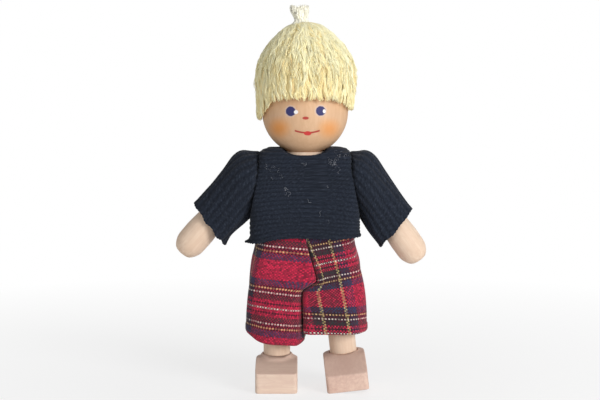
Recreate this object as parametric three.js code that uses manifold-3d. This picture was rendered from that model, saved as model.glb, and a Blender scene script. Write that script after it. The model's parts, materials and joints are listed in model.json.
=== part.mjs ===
// A small jointed wooden doll: a turned ball head with a yarn wig, a plain body block,
// dowel limbs strung on elastic, block feet, a knitted sweater and woven shorts.
// Millimetres, +Z up. The doll faces -Y and stands on Z = 0; its left side is +X.
import * as THREE from 'three';
import { mergeVertices } from 'three/addons/utils/BufferGeometryUtils.js';
import Module from 'manifold-3d';

const wasm = await Module();
wasm.setup();

// Gaps
const CLEARANCE = 0.3; // between two pieces that touch
const BORE_CLEARANCE = 0.3; // round an elastic in its bore

// Fineness of the round pieces
const ROUND_SIDES = 28;
const LIMB_SIDES = 24;
const HEAD_SIDES = 36;
const BORE_SIDES = 12;
const CLOTH_SIDES = 32;

// Legs and feet
const LEG_RADIUS = 3.45;
const HIP_HEIGHT = 32; // hip pivot above the sole, along the leg
const HIP_X = 7.3;
const LEFT_SPLAY = 6.5; // degrees that the left leg stands out to the side
const RIGHT_SPLAY = 0;
const FOOT_WIDTH = 10.7;
const TOE_REACH = 10.8; // toe in front of the leg's axis
const LEFT_TOE_HEIGHT = 4.3;
const RIGHT_TOE_HEIGHT = 5;
const LEFT_FOOT_HEIGHT = 8.4; // at the ankle
const RIGHT_FOOT_HEIGHT = 7.5;
const FOOT_EDGE = 0.5; // rounding of the foot's edges
const TOE_CORNER = 1.2; // rounding of the toe's corners, seen from above
const SOCKET_FLOOR = 2.9; // wood left under the leg's socket

// Body block, with a tab between the legs
const SHOULDER_HALF_WIDTH = 9.8;
const WAIST_HALF_WIDTH = 8.8;
const TORSO_HEIGHT = 22.4;
const TORSO_DEPTH = 9.6;
const TORSO_EDGE = 1.2;
const SHOULDER_CHAMFER = 1.6;
const TORSO_ABOVE_HIP = 4.2; // bottom of the block above the hip pivots
const TAB_BELOW_HIP = 4.2;
const TAB_CORNER = 1.4;

// Arms
const ARM_BALL_RADIUS = 3.7;
const ARM_RADIUS = 3.45;
const HAND_RADIUS = 3.9;
const ARM_LENGTH = 28.4; // shoulder pivot to the tip of the hand
const LEFT_ARM_ANGLE = 35.3; // degrees out from hanging straight down
const RIGHT_ARM_ANGLE = 41.3;
const SHOULDER_DROP = 2.9; // pivot below the top of the block
const DISH_DEPTH = 0.6; // hollow in the block's side that the arm's ball turns in

// Elastics
const NECK_ELASTIC_RADIUS = 0.9;
const LIMB_ELASTIC_RADIUS = 0.8;
const NECK_KNOT_RADIUS = 1.3;
const LIMB_KNOT_RADIUS = 1.2;
const NECK_BORE_DEPTH = 8.9; // blind bore in the top of the block
const LIMB_BORE_DEPTH = 2.8; // blind bores in the block's sides and in the tab
const KNOT_SEAT = 1.6; // floor of a limb's knot recess, out from the pivot

// Head, collar and hair
const HEAD_RADIUS = 11;
const COLLAR_RADIUS = 4.9;
const COLLAR_HEIGHT = 1.8; // at its rim
const CROWN_SEAT = 8; // floor of the crown's knot recess above the head's centre
const BORE_FLARE = 3; // the head's bore opens to this radius at its lower end
const HAIR_THICKNESS = 1.4; // at the fringe
const HAIR_CROWN = 12.3; // from the top of the ball to the gathered crown
const HAIR_SWELL = 0.45; // fullness above the fringe
const FRINGE_HEIGHT = 2.9; // lower edge of the fringe above the head's centre
const FRINGE_HALF_WIDTH = 7.5; // level part of the fringe
const FACE_HALF_WIDTH = 11.6; // the cut edge drops to the side locks here
const FACE_BACK = 1; // side locks start this far in front of the head's centre
const HAIR_DROP = 0.5; // side and back locks below the head's centre, at the middle
const SIDE_LOCK_DROP = 2.3; // tip of the longer side lock below the head's centre
const HAIR_TILT = 6.2; // degrees that the cut edge of the locks rises to the left
const LOCKS = 22; // twisted locks round the head
const LOCK_RELIEF = 0.3;
const TUFT_HEIGHT = 4.4;
const TUFT_NECK = 1.05;
const TUFT_SPREAD = 2.5;
const TUFT_LEAN = 0.35; // sideways to the right, per millimetre of height
const TIE_THICKNESS = 0.7;

// Sweater
const KNIT = 0.9; // thickness of the knitted body
const SLEEVE_KNIT = 0.8;
const SWEATER_HEM_ABOVE_BLOCK = 2; // hem above the bottom of the block
const SWEATER_HALF_WIDTH = 14.1;
const SWEATER_HALF_DEPTH = 8.5;
const CHEST_HALF_DEPTH = 7.4;
const NECK_RISE = 2.6; // sweater's neck edge above the top of the block
const NECKLINE_DIP = 1.5; // front of the neckline below that edge
const SWEATER_HEM_TILT = 0.75; // the hem is lower by this on the right and higher on the left
const SHOULDER_FALL = 1.6; // the sweater's side turns in to the armhole this far below the block's top
const CHEST_FALL = 8.6; // widest part of the chest below the block's top
const SHOULDER_EASE = 0.8; // slack beside the shoulders
const NECK_SLOPE = 2.2; // the shoulder line draws in by this to the neck
const SLEEVE_ROOT_RADIUS = 5; // sleeve where it leaves the body
const SLEEVE_ROOT = 1.4; // root ring inside the shoulder pivot
const LEFT_SHOULDER_CORNER = 3.4; // the sleeve's top is level this far out from the pivot
const RIGHT_SHOULDER_CORNER = 4.3;
const ARMPIT_OUT = 0.6;
const ARMPIT_BELOW = 10.8;
const CUFF_TOP_OUT = 14.9;
const CUFF_TOP_BELOW = 8.7;
const CUFF_LOW_OUT = 6.7;
const CUFF_LOW_BELOW = 19.35;
const LEFT_SLEEVE_HANG = 2.3; // degrees that the sleeve hangs lower than this
const RIGHT_SLEEVE_HANG = -2.3;
const SLEEVE_HALF_DEPTH = 6.7;
const CUFF_HALF_DEPTH = 5.2;
const SLEEVE_FOLD = 0.05;
const ARMHOLE_FLARE = 2.9; // the armhole opens by this radius for each millimetre outwards

// Shorts and their waist elastic
const CLOTH = 0.7;
const SHORTS_TOP_ABOVE_BLOCK = 5; // waist edge above the bottom of the block
const LEFT_INSEAM = 12.9; // hem below the crotch
const RIGHT_INSEAM = 13.8;
const CROTCH_BELOW_HIP = 4.8;
const CENTRE_SEAM = 0.15; // half the seam between the two halves
const SEAM_BOW = 2; // the centre seam bows to the left by this
const SEAM_BOW_BELOW_HIP = 2.7; // where it bows most
const SEAM_BOW_REACH = 3.8; // up and down from there
const SEAM_BOW_WIDTH = 4; // cloth beside the seam that is drawn along
const HEM_LOW_SIDE = 235; // degrees round the leg from its outer side to the hem's lowest point
const LEFT_HEM_TILT = 0.3;
const RIGHT_HEM_TILT = 1.8;
const WAIST_OUTER = 12.4;
const LEFT_HEM_OUTER = 16.1;
const RIGHT_HEM_OUTER = 15.1;
const SHORTS_HALF_DEPTH = 7.1;
const SHORTS_EASE = 0.35; // fullness over the seat
const SHORTS_TUCK = 1; // straight part of the waist that goes up under the sweater's hem
const SHORTS_FOLD = 0.03;
const BAND_HEIGHT = 3;
const BAND_THICKNESS = 0.4;

// Colours
const WOOD = { color: 0xe6c7ae, roughness: 0.62, metalness: 0 };
const FACE_WOOD = { color: 0xdcae84, roughness: 0.5, metalness: 0 };
const NAVY_KNIT = { color: 0x232a37, roughness: 0.95, metalness: 0 };
const RED_TARTAN = { color: 0xa3263a, roughness: 0.9, metalness: 0 };
const YELLOW_YARN = { color: 0xefdfa0, roughness: 0.9, metalness: 0 };
const WHITE_ELASTIC = { color: 0xf2efe8, roughness: 0.7, metalness: 0 };

// Heights that follow from the sizes above
const HIP_Z = HIP_HEIGHT;
const TORSO_BOTTOM = HIP_Z + TORSO_ABOVE_HIP;
const TORSO_TOP = TORSO_BOTTOM + TORSO_HEIGHT;
const TAB_BOTTOM = HIP_Z - TAB_BELOW_HIP;
const TAB_HALF_WIDTH = HIP_X - LEG_RADIUS - CLEARANCE;
const SHOULDER_Z = TORSO_TOP - SHOULDER_DROP;
const SHOULDER_X = SHOULDER_HALF_WIDTH + ARM_BALL_RADIUS + CLEARANCE - DISH_DEPTH;
const COLLAR_BOTTOM = TORSO_TOP + CLEARANCE;
const HEAD_SEAT_RADIUS = HEAD_RADIUS + CLEARANCE;
const HEAD_Z = COLLAR_BOTTOM + COLLAR_HEIGHT + Math.sqrt(HEAD_SEAT_RADIUS ** 2 - COLLAR_RADIUS ** 2);
const NECK_BORE = NECK_ELASTIC_RADIUS + BORE_CLEARANCE;
const LIMB_BORE = LIMB_ELASTIC_RADIUS + BORE_CLEARANCE;
const LIMB_RECESS = LIMB_KNOT_RADIUS + BORE_CLEARANCE;
const LIMB_KNOT_X = KNOT_SEAT + CLEARANCE + LIMB_KNOT_RADIUS;
const SHORTS_TOP = TORSO_BOTTOM + SHORTS_TOP_ABOVE_BLOCK;
const CROTCH_Z = HIP_Z - CROTCH_BELOW_HIP;
const SWEATER_HEM = TORSO_BOTTOM + SWEATER_HEM_ABOVE_BLOCK;

const radians = THREE.MathUtils.degToRad;
const degrees = THREE.MathUtils.radToDeg;

// Makes a closed geometry into a solid that can be joined and cut.
function solid(geometry) {
  const bare = new THREE.BufferGeometry();
  bare.setAttribute('position', geometry.getAttribute('position'));
  bare.setIndex(geometry.getIndex());
  const welded = mergeVertices(bare, 1e-4);
  const corners = welded.getIndex().array;
  const triangles = [];
  for (let i = 0; i < corners.length; i += 3) {
    const [a, b, c] = corners.slice(i, i + 3);
    if (a !== b && b !== c && c !== a) triangles.push(a, b, c);
  }
  const vertProperties = new Float32Array(welded.getAttribute('position').array);
  const triVerts = new Uint32Array(triangles);
  return new wasm.Manifold(new wasm.Mesh({ numProp: 3, vertProperties, triVerts }));
}

// Gives a solid back as a geometry.
function geometryOf(body) {
  const { vertProperties, triVerts } = body.getMesh();
  const geometry = new THREE.BufferGeometry();
  geometry.setAttribute('position', new THREE.BufferAttribute(vertProperties, 3));
  geometry.setIndex(new THREE.BufferAttribute(triVerts, 1));
  geometry.computeVertexNormals();
  return geometry;
}

function piece(name, body, look) {
  const mesh = new THREE.Mesh(geometryOf(body), new THREE.MeshStandardMaterial(look));
  mesh.name = name;
  return mesh;
}

function group(position, ...children) {
  const holder = new THREE.Group();
  holder.position.set(...position);
  holder.add(...children);
  return holder;
}

// A body of revolution about Z, from a profile of [radius, z] that runs upwards.
function revolve(profile, sides = ROUND_SIDES) {
  const points = profile.map(([r, z]) => new THREE.Vector2(r, z));
  return new THREE.LatheGeometry(points, sides).rotateX(Math.PI / 2);
}

// Points of a smooth curve through a few [radius, z] stations.
function smooth(stations, steps) {
  const curve = new THREE.SplineCurve(stations.map(([r, z]) => new THREE.Vector2(r, z)));
  return curve.getPoints(steps).map((p) => [Math.max(p.x, 0), p.y]);
}

// Part of a circle in a profile, in degrees from straight out, about height z.
function arc(radius, from, to, steps, z = 0) {
  const points = [];
  for (let i = 0; i <= steps; i += 1) {
    const angle = radians(from + (to - from) * i / steps);
    points.push([radius * Math.cos(angle), z + radius * Math.sin(angle)]);
  }
  return points;
}

// A round rod along X.
function rodX(radius, from, to, sides = BORE_SIDES) {
  const rod = new THREE.CylinderGeometry(radius, radius, to - from, sides);
  return rod.rotateZ(Math.PI / 2).translate((from + to) / 2, 0, 0);
}

// A round rod along Z.
function rodZ(radius, from, to, sides = BORE_SIDES) {
  const rod = new THREE.CylinderGeometry(radius, radius, to - from, sides);
  return rod.rotateX(Math.PI / 2).translate(0, 0, (from + to) / 2);
}

function block(low, high) {
  const size = low.map((value, i) => high[i] - value);
  const middle = low.map((value, i) => (high[i] + value) / 2);
  return new THREE.BoxGeometry(...size).translate(...middle);
}

function ball(radius, centre = [0, 0, 0], sides = BORE_SIDES) {
  return new THREE.SphereGeometry(radius, sides, sides / 2).rotateX(Math.PI / 2).translate(...centre);
}

// Skins a row of rings, each a closed loop of points, and closes both ends.
function loft(rings) {
  const count = rings[0].length;
  const points = rings.flat();
  const corners = [];
  for (let i = 0; i + 1 < rings.length; i += 1) {
    for (let j = 0; j < count; j += 1) {
      const a = i * count + j;
      const b = i * count + (j + 1) % count;
      corners.push(a, b, b + count, a, b + count, a + count);
    }
  }
  for (const [i, turn] of [[0, false], [rings.length - 1, true]]) {
    const middle = new THREE.Vector3();
    rings[i].forEach((point) => middle.addScaledVector(point, 1 / count));
    points.push(middle);
    for (let j = 0; j < count; j += 1) {
      const a = i * count + j;
      const b = i * count + (j + 1) % count;
      corners.push(points.length - 1, ...(turn ? [a, b] : [b, a]));
    }
  }
  const geometry = new THREE.BufferGeometry().setFromPoints(points);
  geometry.setIndex(corners);
  return geometry;
}

// One coordinate of a rounded box outline: a higher power is squarer.
function squared(value, power) {
  return Math.sign(value) * Math.abs(value) ** (2 / power);
}

// A cloth ring. The side at low x and the side at high x have their own squareness; a hem may tilt
// towards its low side, and a centre seam may bow.
function levelRing(shape, inset = 0) {
  const { z, from, to, halfDepth, inner, outer, fold = 0, tilt = 0, lowSide = 0, bow = 0 } = shape;
  const halfWidth = (to - from) / 2 - inset;
  const ring = [];
  for (let j = 0; j < CLOTH_SIDES; j += 1) {
    const angle = 2 * Math.PI * (j + 0.5) / CLOTH_SIDES;
    const power = Math.cos(angle) < 0 ? inner : outer;
    const wave = 1 + fold * Math.cos(5 * angle + z / 4);
    const x = (from + to) / 2 + halfWidth * squared(Math.cos(angle), power);
    const y = (halfDepth - inset) * squared(Math.sin(angle), power) * wave;
    const drawn = bow * Math.exp(-((x / SEAM_BOW_WIDTH) ** 2));
    const lowered = tilt * Math.cos(angle - radians(lowSide));
    ring.push(new THREE.Vector3(x + drawn, y, z - lowered));
  }
  return ring;
}

// A shell of cloth between a loft and the same loft drawn in by the cloth's thickness.
function shell(rings, thickness, ringOf) {
  const cutter = rings.map((ring) => ringOf(ring, thickness));
  const reach = 0.5;
  const first = cutter[0];
  const last = cutter.at(-1);
  const beyond = (ring, other) => ring.map((point, j) => {
    const way = point.clone().sub(other[j]).setLength(reach);
    return point.clone().add(way);
  });
  const inside = [beyond(first, cutter[1]), ...cutter, beyond(last, cutter.at(-2))];
  return solid(loft(rings.map((ring) => ringOf(ring, 0)))).subtract(solid(loft(inside)));
}

// Body block: front outline, extruded front to back with rounded edges.
function torsoBlock() {
  const half = [
    [TAB_HALF_WIDTH - TAB_CORNER, TAB_BOTTOM],
    [TAB_HALF_WIDTH, TAB_BOTTOM + TAB_CORNER],
    [TAB_HALF_WIDTH, TORSO_BOTTOM],
    [WAIST_HALF_WIDTH, TORSO_BOTTOM],
    [SHOULDER_HALF_WIDTH, SHOULDER_Z + ARM_BALL_RADIUS / 3],
    [SHOULDER_HALF_WIDTH - SHOULDER_CHAMFER, TORSO_TOP],
  ];
  const mirrored = half.map(([x, z]) => [-x, z]).reverse();
  const outline = [...half, ...mirrored].map(([x, z]) => new THREE.Vector2(x, z));
  const straight = TORSO_DEPTH - 2 * TORSO_EDGE;
  const slab = new THREE.ExtrudeGeometry(new THREE.Shape(outline), {
    depth: straight,
    bevelThickness: TORSO_EDGE,
    bevelSize: TORSO_EDGE,
    bevelOffset: -TORSO_EDGE,
    bevelSegments: 3,
  });
  slab.translate(0, 0, -straight / 2).rotateX(Math.PI / 2);
  let body = solid(slab).subtract(solid(rodZ(NECK_BORE, TORSO_TOP - NECK_BORE_DEPTH, TORSO_TOP + 1)));
  for (const side of [-1, 1]) {
    const dish = ball(ARM_BALL_RADIUS + CLEARANCE, [side * SHOULDER_X, 0, SHOULDER_Z], ROUND_SIDES);
    const shoulderFloor = SHOULDER_HALF_WIDTH - LIMB_BORE_DEPTH;
    const shoulderBore = rodX(LIMB_BORE, shoulderFloor, SHOULDER_X).scale(side, 1, 1);
    const hipZ = side > 0 ? HIP_Z + hipLift(LEFT_SPLAY) : HIP_Z + hipLift(RIGHT_SPLAY);
    const hipBore = rodX(LIMB_BORE, TAB_HALF_WIDTH - LIMB_BORE_DEPTH, HIP_X);
    body = body.subtract(solid(dish));
    body = body.subtract(solid(turnSide(shoulderBore, side).translate(0, 0, SHOULDER_Z)));
    body = body.subtract(solid(turnSide(hipBore.scale(side, 1, 1), side).translate(0, 0, hipZ)));
  }
  return body;
}

// A geometry that was mirrored keeps its faces pointing out.
function turnSide(geometry, side) {
  if (side > 0) return geometry;
  const index = geometry.getIndex();
  for (let i = 0; i < index.count; i += 3) {
    const a = index.getX(i);
    index.setX(i, index.getX(i + 1));
    index.setX(i + 1, a);
  }
  return geometry;
}

// How much a leg that stands out to the side lifts its hip when its sole's inner edge is down.
function hipLift(splay) {
  const angle = radians(splay);
  const edge = FOOT_WIDTH / 2 - FOOT_EDGE;
  return HIP_HEIGHT * (Math.cos(angle) - 1) + edge * Math.sin(angle);
}

// Elastic along X: glued in the block's bore, knotted outside the limb.
function limbElastic(boreFloor) {
  const cord = solid(rodX(LIMB_ELASTIC_RADIUS, boreFloor + CLEARANCE, LIMB_KNOT_X));
  return cord.add(solid(ball(LIMB_KNOT_RADIUS, [LIMB_KNOT_X, 0, 0])));
}

// Bore through a limb's top for its elastic, with the knot's recess, for a limb turned by an angle.
function limbBore(angle, reach) {
  const bore = solid(rodX(LIMB_BORE, -reach, reach).rotateY(radians(angle)));
  return bore.add(solid(rodX(LIMB_RECESS, KNOT_SEAT, reach).rotateY(radians(angle))));
}

// Arm: ball at the shoulder, slim shaft, swelling to a rounded hand.
function arm(angle) {
  const tip = -ARM_LENGTH;
  const hand = smooth([
    [0, tip],
    [0.55 * HAND_RADIUS, tip + 0.5],
    [0.9 * HAND_RADIUS, tip + 2.4],
    [HAND_RADIUS, tip + 6],
    [0.3 * HAND_RADIUS + 0.7 * ARM_RADIUS, tip + 12],
    [ARM_RADIUS, tip + 18],
  ], 11);
  const meeting = -degrees(Math.acos(ARM_RADIUS / ARM_BALL_RADIUS));
  const shaft = solid(revolve([...hand, ...arc(ARM_BALL_RADIUS, meeting, 90, 7)], LIMB_SIDES));
  return shaft.subtract(limbBore(angle, 2 * ARM_BALL_RADIUS));
}

// Leg: dowel with a round top, standing in the foot's socket.
function leg(splay) {
  const foot = SOCKET_FLOOR + CLEARANCE - HIP_HEIGHT;
  const dowel = solid(revolve([[0, foot], [LEG_RADIUS, foot], ...arc(LEG_RADIUS, 0, 90, 6)], LIMB_SIDES));
  return dowel.subtract(limbBore(splay, 2 * LEG_RADIUS));
}

// Foot: a block with a round heel, cut to a slope over the instep, with a socket for the leg.
function foot(height, toeHeight) {
  const half = FOOT_WIDTH / 2;
  const corner = TOE_CORNER;
  const plan = new THREE.Shape();
  plan.moveTo(half, 0);
  plan.absarc(0, 0, half, 0, Math.PI, false);
  plan.lineTo(-half, corner - TOE_REACH);
  plan.quadraticCurveTo(-half, -TOE_REACH, corner - half, -TOE_REACH);
  plan.lineTo(half - corner, -TOE_REACH);
  plan.quadraticCurveTo(half, -TOE_REACH, half, corner - TOE_REACH);
  const straight = height - 2 * FOOT_EDGE;
  const lump = new THREE.ExtrudeGeometry(plan, {
    depth: straight,
    curveSegments: 10,
    bevelThickness: FOOT_EDGE,
    bevelSize: FOOT_EDGE,
    bevelOffset: -FOOT_EDGE,
    bevelSegments: 2,
  });
  lump.translate(0, 0, FOOT_EDGE);
  const ankle = LEG_RADIUS + 2 * CLEARANCE;
  const slope = Math.atan2(height - toeHeight, TOE_REACH - ankle);
  const wedge = block([-FOOT_WIDTH, -3 * TOE_REACH, 0], [FOOT_WIDTH, 0, 3 * height]);
  wedge.rotateX(slope).translate(0, -ankle, height);
  const socket = rodZ(LEG_RADIUS + CLEARANCE, SOCKET_FLOOR, 2 * height, ROUND_SIDES);
  return solid(lump).subtract(solid(wedge)).subtract(solid(socket));
}

// Sleeve rings between an upper and a lower point, from the shoulder to the cuff, at the shoulder's pivot.
function sleeveRing({ upper, lower, halfDepth, fold = 0 }, inset = 0) {
  const high = new THREE.Vector3(upper[0], 0, upper[1]);
  const low = new THREE.Vector3(lower[0], 0, lower[1]);
  const middle = high.clone().add(low).multiplyScalar(0.5);
  const across = high.clone().sub(low).multiplyScalar(0.5);
  across.setLength(across.length() - inset);
  const ring = [];
  for (let j = 0; j < CLOTH_SIDES; j += 1) {
    const angle = 2 * Math.PI * j / CLOTH_SIDES;
    const wave = 1 + fold * Math.cos(4 * angle);
    const point = middle.clone().addScaledVector(across, Math.cos(angle));
    point.y -= (halfDepth - inset) * Math.sin(angle) * wave;
    ring.push(point);
  }
  return ring;
}

// A point some share of the way between two points.
function between(from, to, share) {
  return from.map((value, i) => value + (to[i] - value) * share);
}

// Sleeve: round where it turns in the armhole, level over the shoulder, then slanting to the cuff.
function sleeve(hang, cornerOut) {
  const turn = radians(hang);
  const hung = (out, below) => [
    out * Math.cos(turn) - below * Math.sin(turn),
    -below * Math.cos(turn) - out * Math.sin(turn),
  ];
  const rootTop = [-SLEEVE_ROOT, SLEEVE_ROOT_RADIUS];
  const rootLow = [-SLEEVE_ROOT, -SLEEVE_ROOT_RADIUS];
  const corner = [cornerOut, SLEEVE_ROOT_RADIUS];
  const armpit = [ARMPIT_OUT, -ARMPIT_BELOW];
  const cuffTop = hung(CUFF_TOP_OUT, CUFF_TOP_BELOW);
  const cuffLow = hung(CUFF_LOW_OUT, CUFF_LOW_BELOW);
  const rootDepth = SLEEVE_ROOT_RADIUS + CLEARANCE;
  const flareDepth = (rootDepth + 2 * SLEEVE_HALF_DEPTH) / 3;
  const ring = (upper, lower, halfDepth, fold = 0) => ({ upper, lower, halfDepth, fold });
  const depthAt = (share) => SLEEVE_HALF_DEPTH + (CUFF_HALF_DEPTH - SLEEVE_HALF_DEPTH) * share;
  return shell([
    ring(rootTop, rootLow, rootDepth),
    ring(between(rootTop, corner, 0.3), between(rootLow, armpit, 0.45), flareDepth),
    ring(between(rootTop, corner, 0.78), armpit, SLEEVE_HALF_DEPTH),
    ring(between(corner, cuffTop, 0.08), between(armpit, cuffLow, 0.25), SLEEVE_HALF_DEPTH),
    ring(between(corner, cuffTop, 0.35), between(armpit, cuffLow, 0.5), depthAt(0.35), SLEEVE_FOLD / 2),
    ring(between(corner, cuffTop, 0.67), between(armpit, cuffLow, 0.75), depthAt(0.7), SLEEVE_FOLD),
    ring(cuffTop, cuffLow, CUFF_HALF_DEPTH, SLEEVE_FOLD),
  ], SLEEVE_KNIT, sleeveRing);
}

// Sweater body: one knitted tube with sloped shoulders, a neck hole and two armholes.
function sweaterBody() {
  const ring = (z, halfWidth, halfDepth, power) => (
    { z, from: -halfWidth, to: halfWidth, halfDepth, inner: power, outer: power }
  );
  const shoulder = SHOULDER_HALF_WIDTH + CLEARANCE + KNIT;
  const level = ring(SWEATER_HEM, SWEATER_HALF_WIDTH, SWEATER_HALF_DEPTH, 4.4);
  const hem = { ...level, tilt: SWEATER_HEM_TILT, lowSide: 180 };
  const lap = SWEATER_HALF_DEPTH - CHEST_HALF_DEPTH;
  const rings = [
    hem,
    ring(between([SWEATER_HEM], [TORSO_TOP], 0.25)[0], SWEATER_HALF_WIDTH, SWEATER_HALF_DEPTH, 4.4),
    ring(TORSO_TOP - CHEST_FALL, SWEATER_HALF_WIDTH, CHEST_HALF_DEPTH + lap / 3, 5),
    ring(TORSO_TOP - SHOULDER_FALL, shoulder + SHOULDER_EASE, CHEST_HALF_DEPTH, 6),
    ring(TORSO_TOP + NECK_RISE / 3, shoulder + SHOULDER_EASE, CHEST_HALF_DEPTH - lap / 2, 4.5),
    ring(TORSO_TOP + 0.85 * NECK_RISE, shoulder, CHEST_HALF_DEPTH - lap, 3.2),
    ring(TORSO_TOP + NECK_RISE, shoulder - NECK_SLOPE, CHEST_HALF_DEPTH - 1.5 * lap, 2.5),
  ];
  const cloth = solid(loft(rings.map((entry) => levelRing(entry))));
  const inside = rings.map((entry) => levelRing({ ...entry, z: entry.z - KNIT / 2 }, KNIT));
  inside[0].forEach((point) => point.setZ(SWEATER_HEM - 3 * SWEATER_HEM_TILT));
  const neckHole = COLLAR_RADIUS + 3 * CLEARANCE;
  const neck = rodZ(neckHole, TORSO_TOP, HEAD_Z, ROUND_SIDES);
  const front = 2 * SWEATER_HALF_DEPTH;
  const scoop = new THREE.CylinderGeometry(neckHole, neckHole, front, ROUND_SIDES);
  scoop.translate(0, -front / 2, TORSO_TOP + NECK_RISE - NECKLINE_DIP + neckHole);
  let body = cloth.subtract(solid(loft(inside))).subtract(solid(neck)).subtract(solid(scoop));
  const ballHole = ARM_BALL_RADIUS + 2 * CLEARANCE;
  const hole = SLEEVE_ROOT_RADIUS + CLEARANCE;
  const span = SWEATER_HALF_WIDTH + KNIT - SHOULDER_X + SLEEVE_ROOT;
  const profile = [
    [0, -SHOULDER_X / 3],
    [ballHole, -SHOULDER_X / 3],
    [ballHole, -CLEARANCE],
    [hole, -CLEARANCE],
    [hole + ARMHOLE_FLARE * span, span],
    [0, span],
  ];
  for (const side of [-1, 1]) {
    const armhole = revolve(profile).rotateY(side * Math.PI / 2);
    armhole.translate(side * (SHOULDER_X - SLEEVE_ROOT), 0, SHOULDER_Z);
    body = body.subtract(solid(armhole));
  }
  return body;
}

// Front or back panel of the sweater, up to the side seams.
function sweaterPanel(body, side) {
  const far = 3 * SWEATER_HALF_DEPTH;
  const near = side * CLEARANCE / 2;
  const box = block([-far, Math.min(near, side * far), 0], [far, Math.max(near, side * far), 2 * TORSO_TOP]);
  return body.intersect(solid(box));
}

// Half of the shorts: a tube round one leg that opens into the other half above the crotch.
function shortsHalf({ inseam, hemOuter, hemTilt, bow }) {
  const from = CENTRE_SEAM;
  const hem = CROTCH_Z - inseam;
  const depth = SHORTS_HALF_DEPTH;
  const bowZ = HIP_Z - SEAM_BOW_BELOW_HIP;
  const ring = (z, widening, ease, inner, extra = {}) => ({
    z,
    from,
    to: WAIST_OUTER + (hemOuter - WAIST_OUTER) * widening,
    halfDepth: depth + ease,
    inner,
    outer: 2.6,
    bow: z > hem ? bow * Math.exp(-(((z - bowZ) / SEAM_BOW_REACH) ** 2)) : 0,
    lowSide: HEM_LOW_SIDE,
    ...extra,
  });
  const rings = [
    ring(hem, 1, SHORTS_EASE / 3, 4, { fold: SHORTS_FOLD, tilt: hemTilt }),
    ring((hem + CROTCH_Z) / 2, 0.94, SHORTS_EASE, 6, { fold: SHORTS_FOLD, tilt: hemTilt / 3 }),
    ring(CROTCH_Z, 0.8, SHORTS_EASE, 9, { fold: SHORTS_FOLD / 2 }),
    ring(bowZ, 0.7, SHORTS_EASE, 12),
    ring(HIP_Z, 0.55, SHORTS_EASE, 16),
    ring(SWEATER_HEM - SHORTS_TUCK, 0.14, 0, 20),
    ring(SHORTS_TOP, 0, 0, 20),
  ];
  const wall = depth - CLOTH;
  const past = from + SEAM_BOW + 2 * CLOTH;
  const open = block([-2 * SEAM_BOW, -wall, CROTCH_Z], [past, wall, SHORTS_TOP + CLOTH]);
  return shell(rings, CLOTH, levelRing).subtract(solid(open));
}

// Elastic band inside the waist of the shorts.
function waistBand() {
  const band = (z, inset) => levelRing({
    z,
    from: inset - WAIST_HALF_WIDTH - 1.8,
    to: WAIST_HALF_WIDTH + 1.8 - inset,
    halfDepth: SHORTS_HALF_DEPTH - CLOTH - CLEARANCE + 0.1 - inset,
    inner: 3.5,
    outer: 3.5,
  });
  const top = SHORTS_TOP - CLEARANCE;
  const bottom = top - BAND_HEIGHT;
  const hole = loft([band(bottom - 1, BAND_THICKNESS), band(top + 1, BAND_THICKNESS)]);
  return solid(loft([band(bottom, 0), band(top, 0)])).subtract(solid(hole));
}

// Ball head, bored through for the elastic, with a recess for the knot at the crown.
function headBall() {
  const bottom = -HEAD_RADIUS - 1;
  const top = HEAD_RADIUS + 1;
  const recess = NECK_KNOT_RADIUS + 2 * BORE_CLEARANCE;
  const bore = revolve([
    [0, bottom],
    [BORE_FLARE, bottom],
    [NECK_BORE, -CROWN_SEAT],
    [NECK_BORE, CROWN_SEAT],
    [recess, CROWN_SEAT],
    [recess, top],
    [0, top],
  ], BORE_SIDES);
  return solid(ball(HEAD_RADIUS, [0, 0, 0], HEAD_SIDES)).subtract(solid(bore));
}

// Yarn wig: full locks drawn up to the crown, cut straight over the face.
function hairCap() {
  const rim = HEAD_RADIUS + HAIR_THICKNESS;
  const crown = HEAD_RADIUS + HAIR_CROWN;
  const profile = smooth([
    [rim - HAIR_THICKNESS / 2, -SIDE_LOCK_DROP - HAIR_THICKNESS / 2],
    [rim + HAIR_SWELL, 0.25 * crown],
    [rim + HAIR_SWELL / 2, 0.45 * crown],
    [0.86 * rim, 0.69 * crown],
    [0.66 * rim, 0.83 * crown],
    [0.43 * rim, 0.93 * crown],
    [0.22 * rim, 0.98 * crown],
    [0, crown],
  ], 12);
  const mass = revolve([[0, profile[0][1]], ...profile], 4 * LOCKS);
  const place = mass.getAttribute('position');
  for (let i = 0; i < place.count; i += 1) {
    const [x, y] = [place.getX(i), place.getY(i)];
    const wave = LOCK_RELIEF * (Math.cos(LOCKS * Math.atan2(y, x)) - 1) / 2;
    const draw = 1 + wave / rim;
    place.setXY(i, x * draw, y * draw);
  }
  const far = 3 * rim;
  const face = new THREE.ExtrudeGeometry(new THREE.Shape([
    new THREE.Vector2(-FACE_HALF_WIDTH, -far),
    new THREE.Vector2(FACE_HALF_WIDTH, -far),
    new THREE.Vector2(FACE_HALF_WIDTH, -HAIR_DROP),
    new THREE.Vector2(FRINGE_HALF_WIDTH, FRINGE_HEIGHT),
    new THREE.Vector2(-FRINGE_HALF_WIDTH, FRINGE_HEIGHT),
    new THREE.Vector2(-FACE_HALF_WIDTH, -SIDE_LOCK_DROP),
  ]), { depth: far, bevelEnabled: false });
  face.rotateX(Math.PI / 2).translate(0, -FACE_BACK, 0);
  const below = block([-far, -far, -far], [far, far, 0]);
  below.rotateY(-radians(HAIR_TILT)).translate(0, 0, -HAIR_DROP);
  const skull = ball(HEAD_SEAT_RADIUS, [0, 0, 0], ROUND_SIDES);
  return solid(mass).subtract(solid(skull)).subtract(solid(face)).subtract(solid(below));
}

const TUFT_BASE = HEAD_RADIUS + HAIR_CROWN + CLEARANCE;

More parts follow.
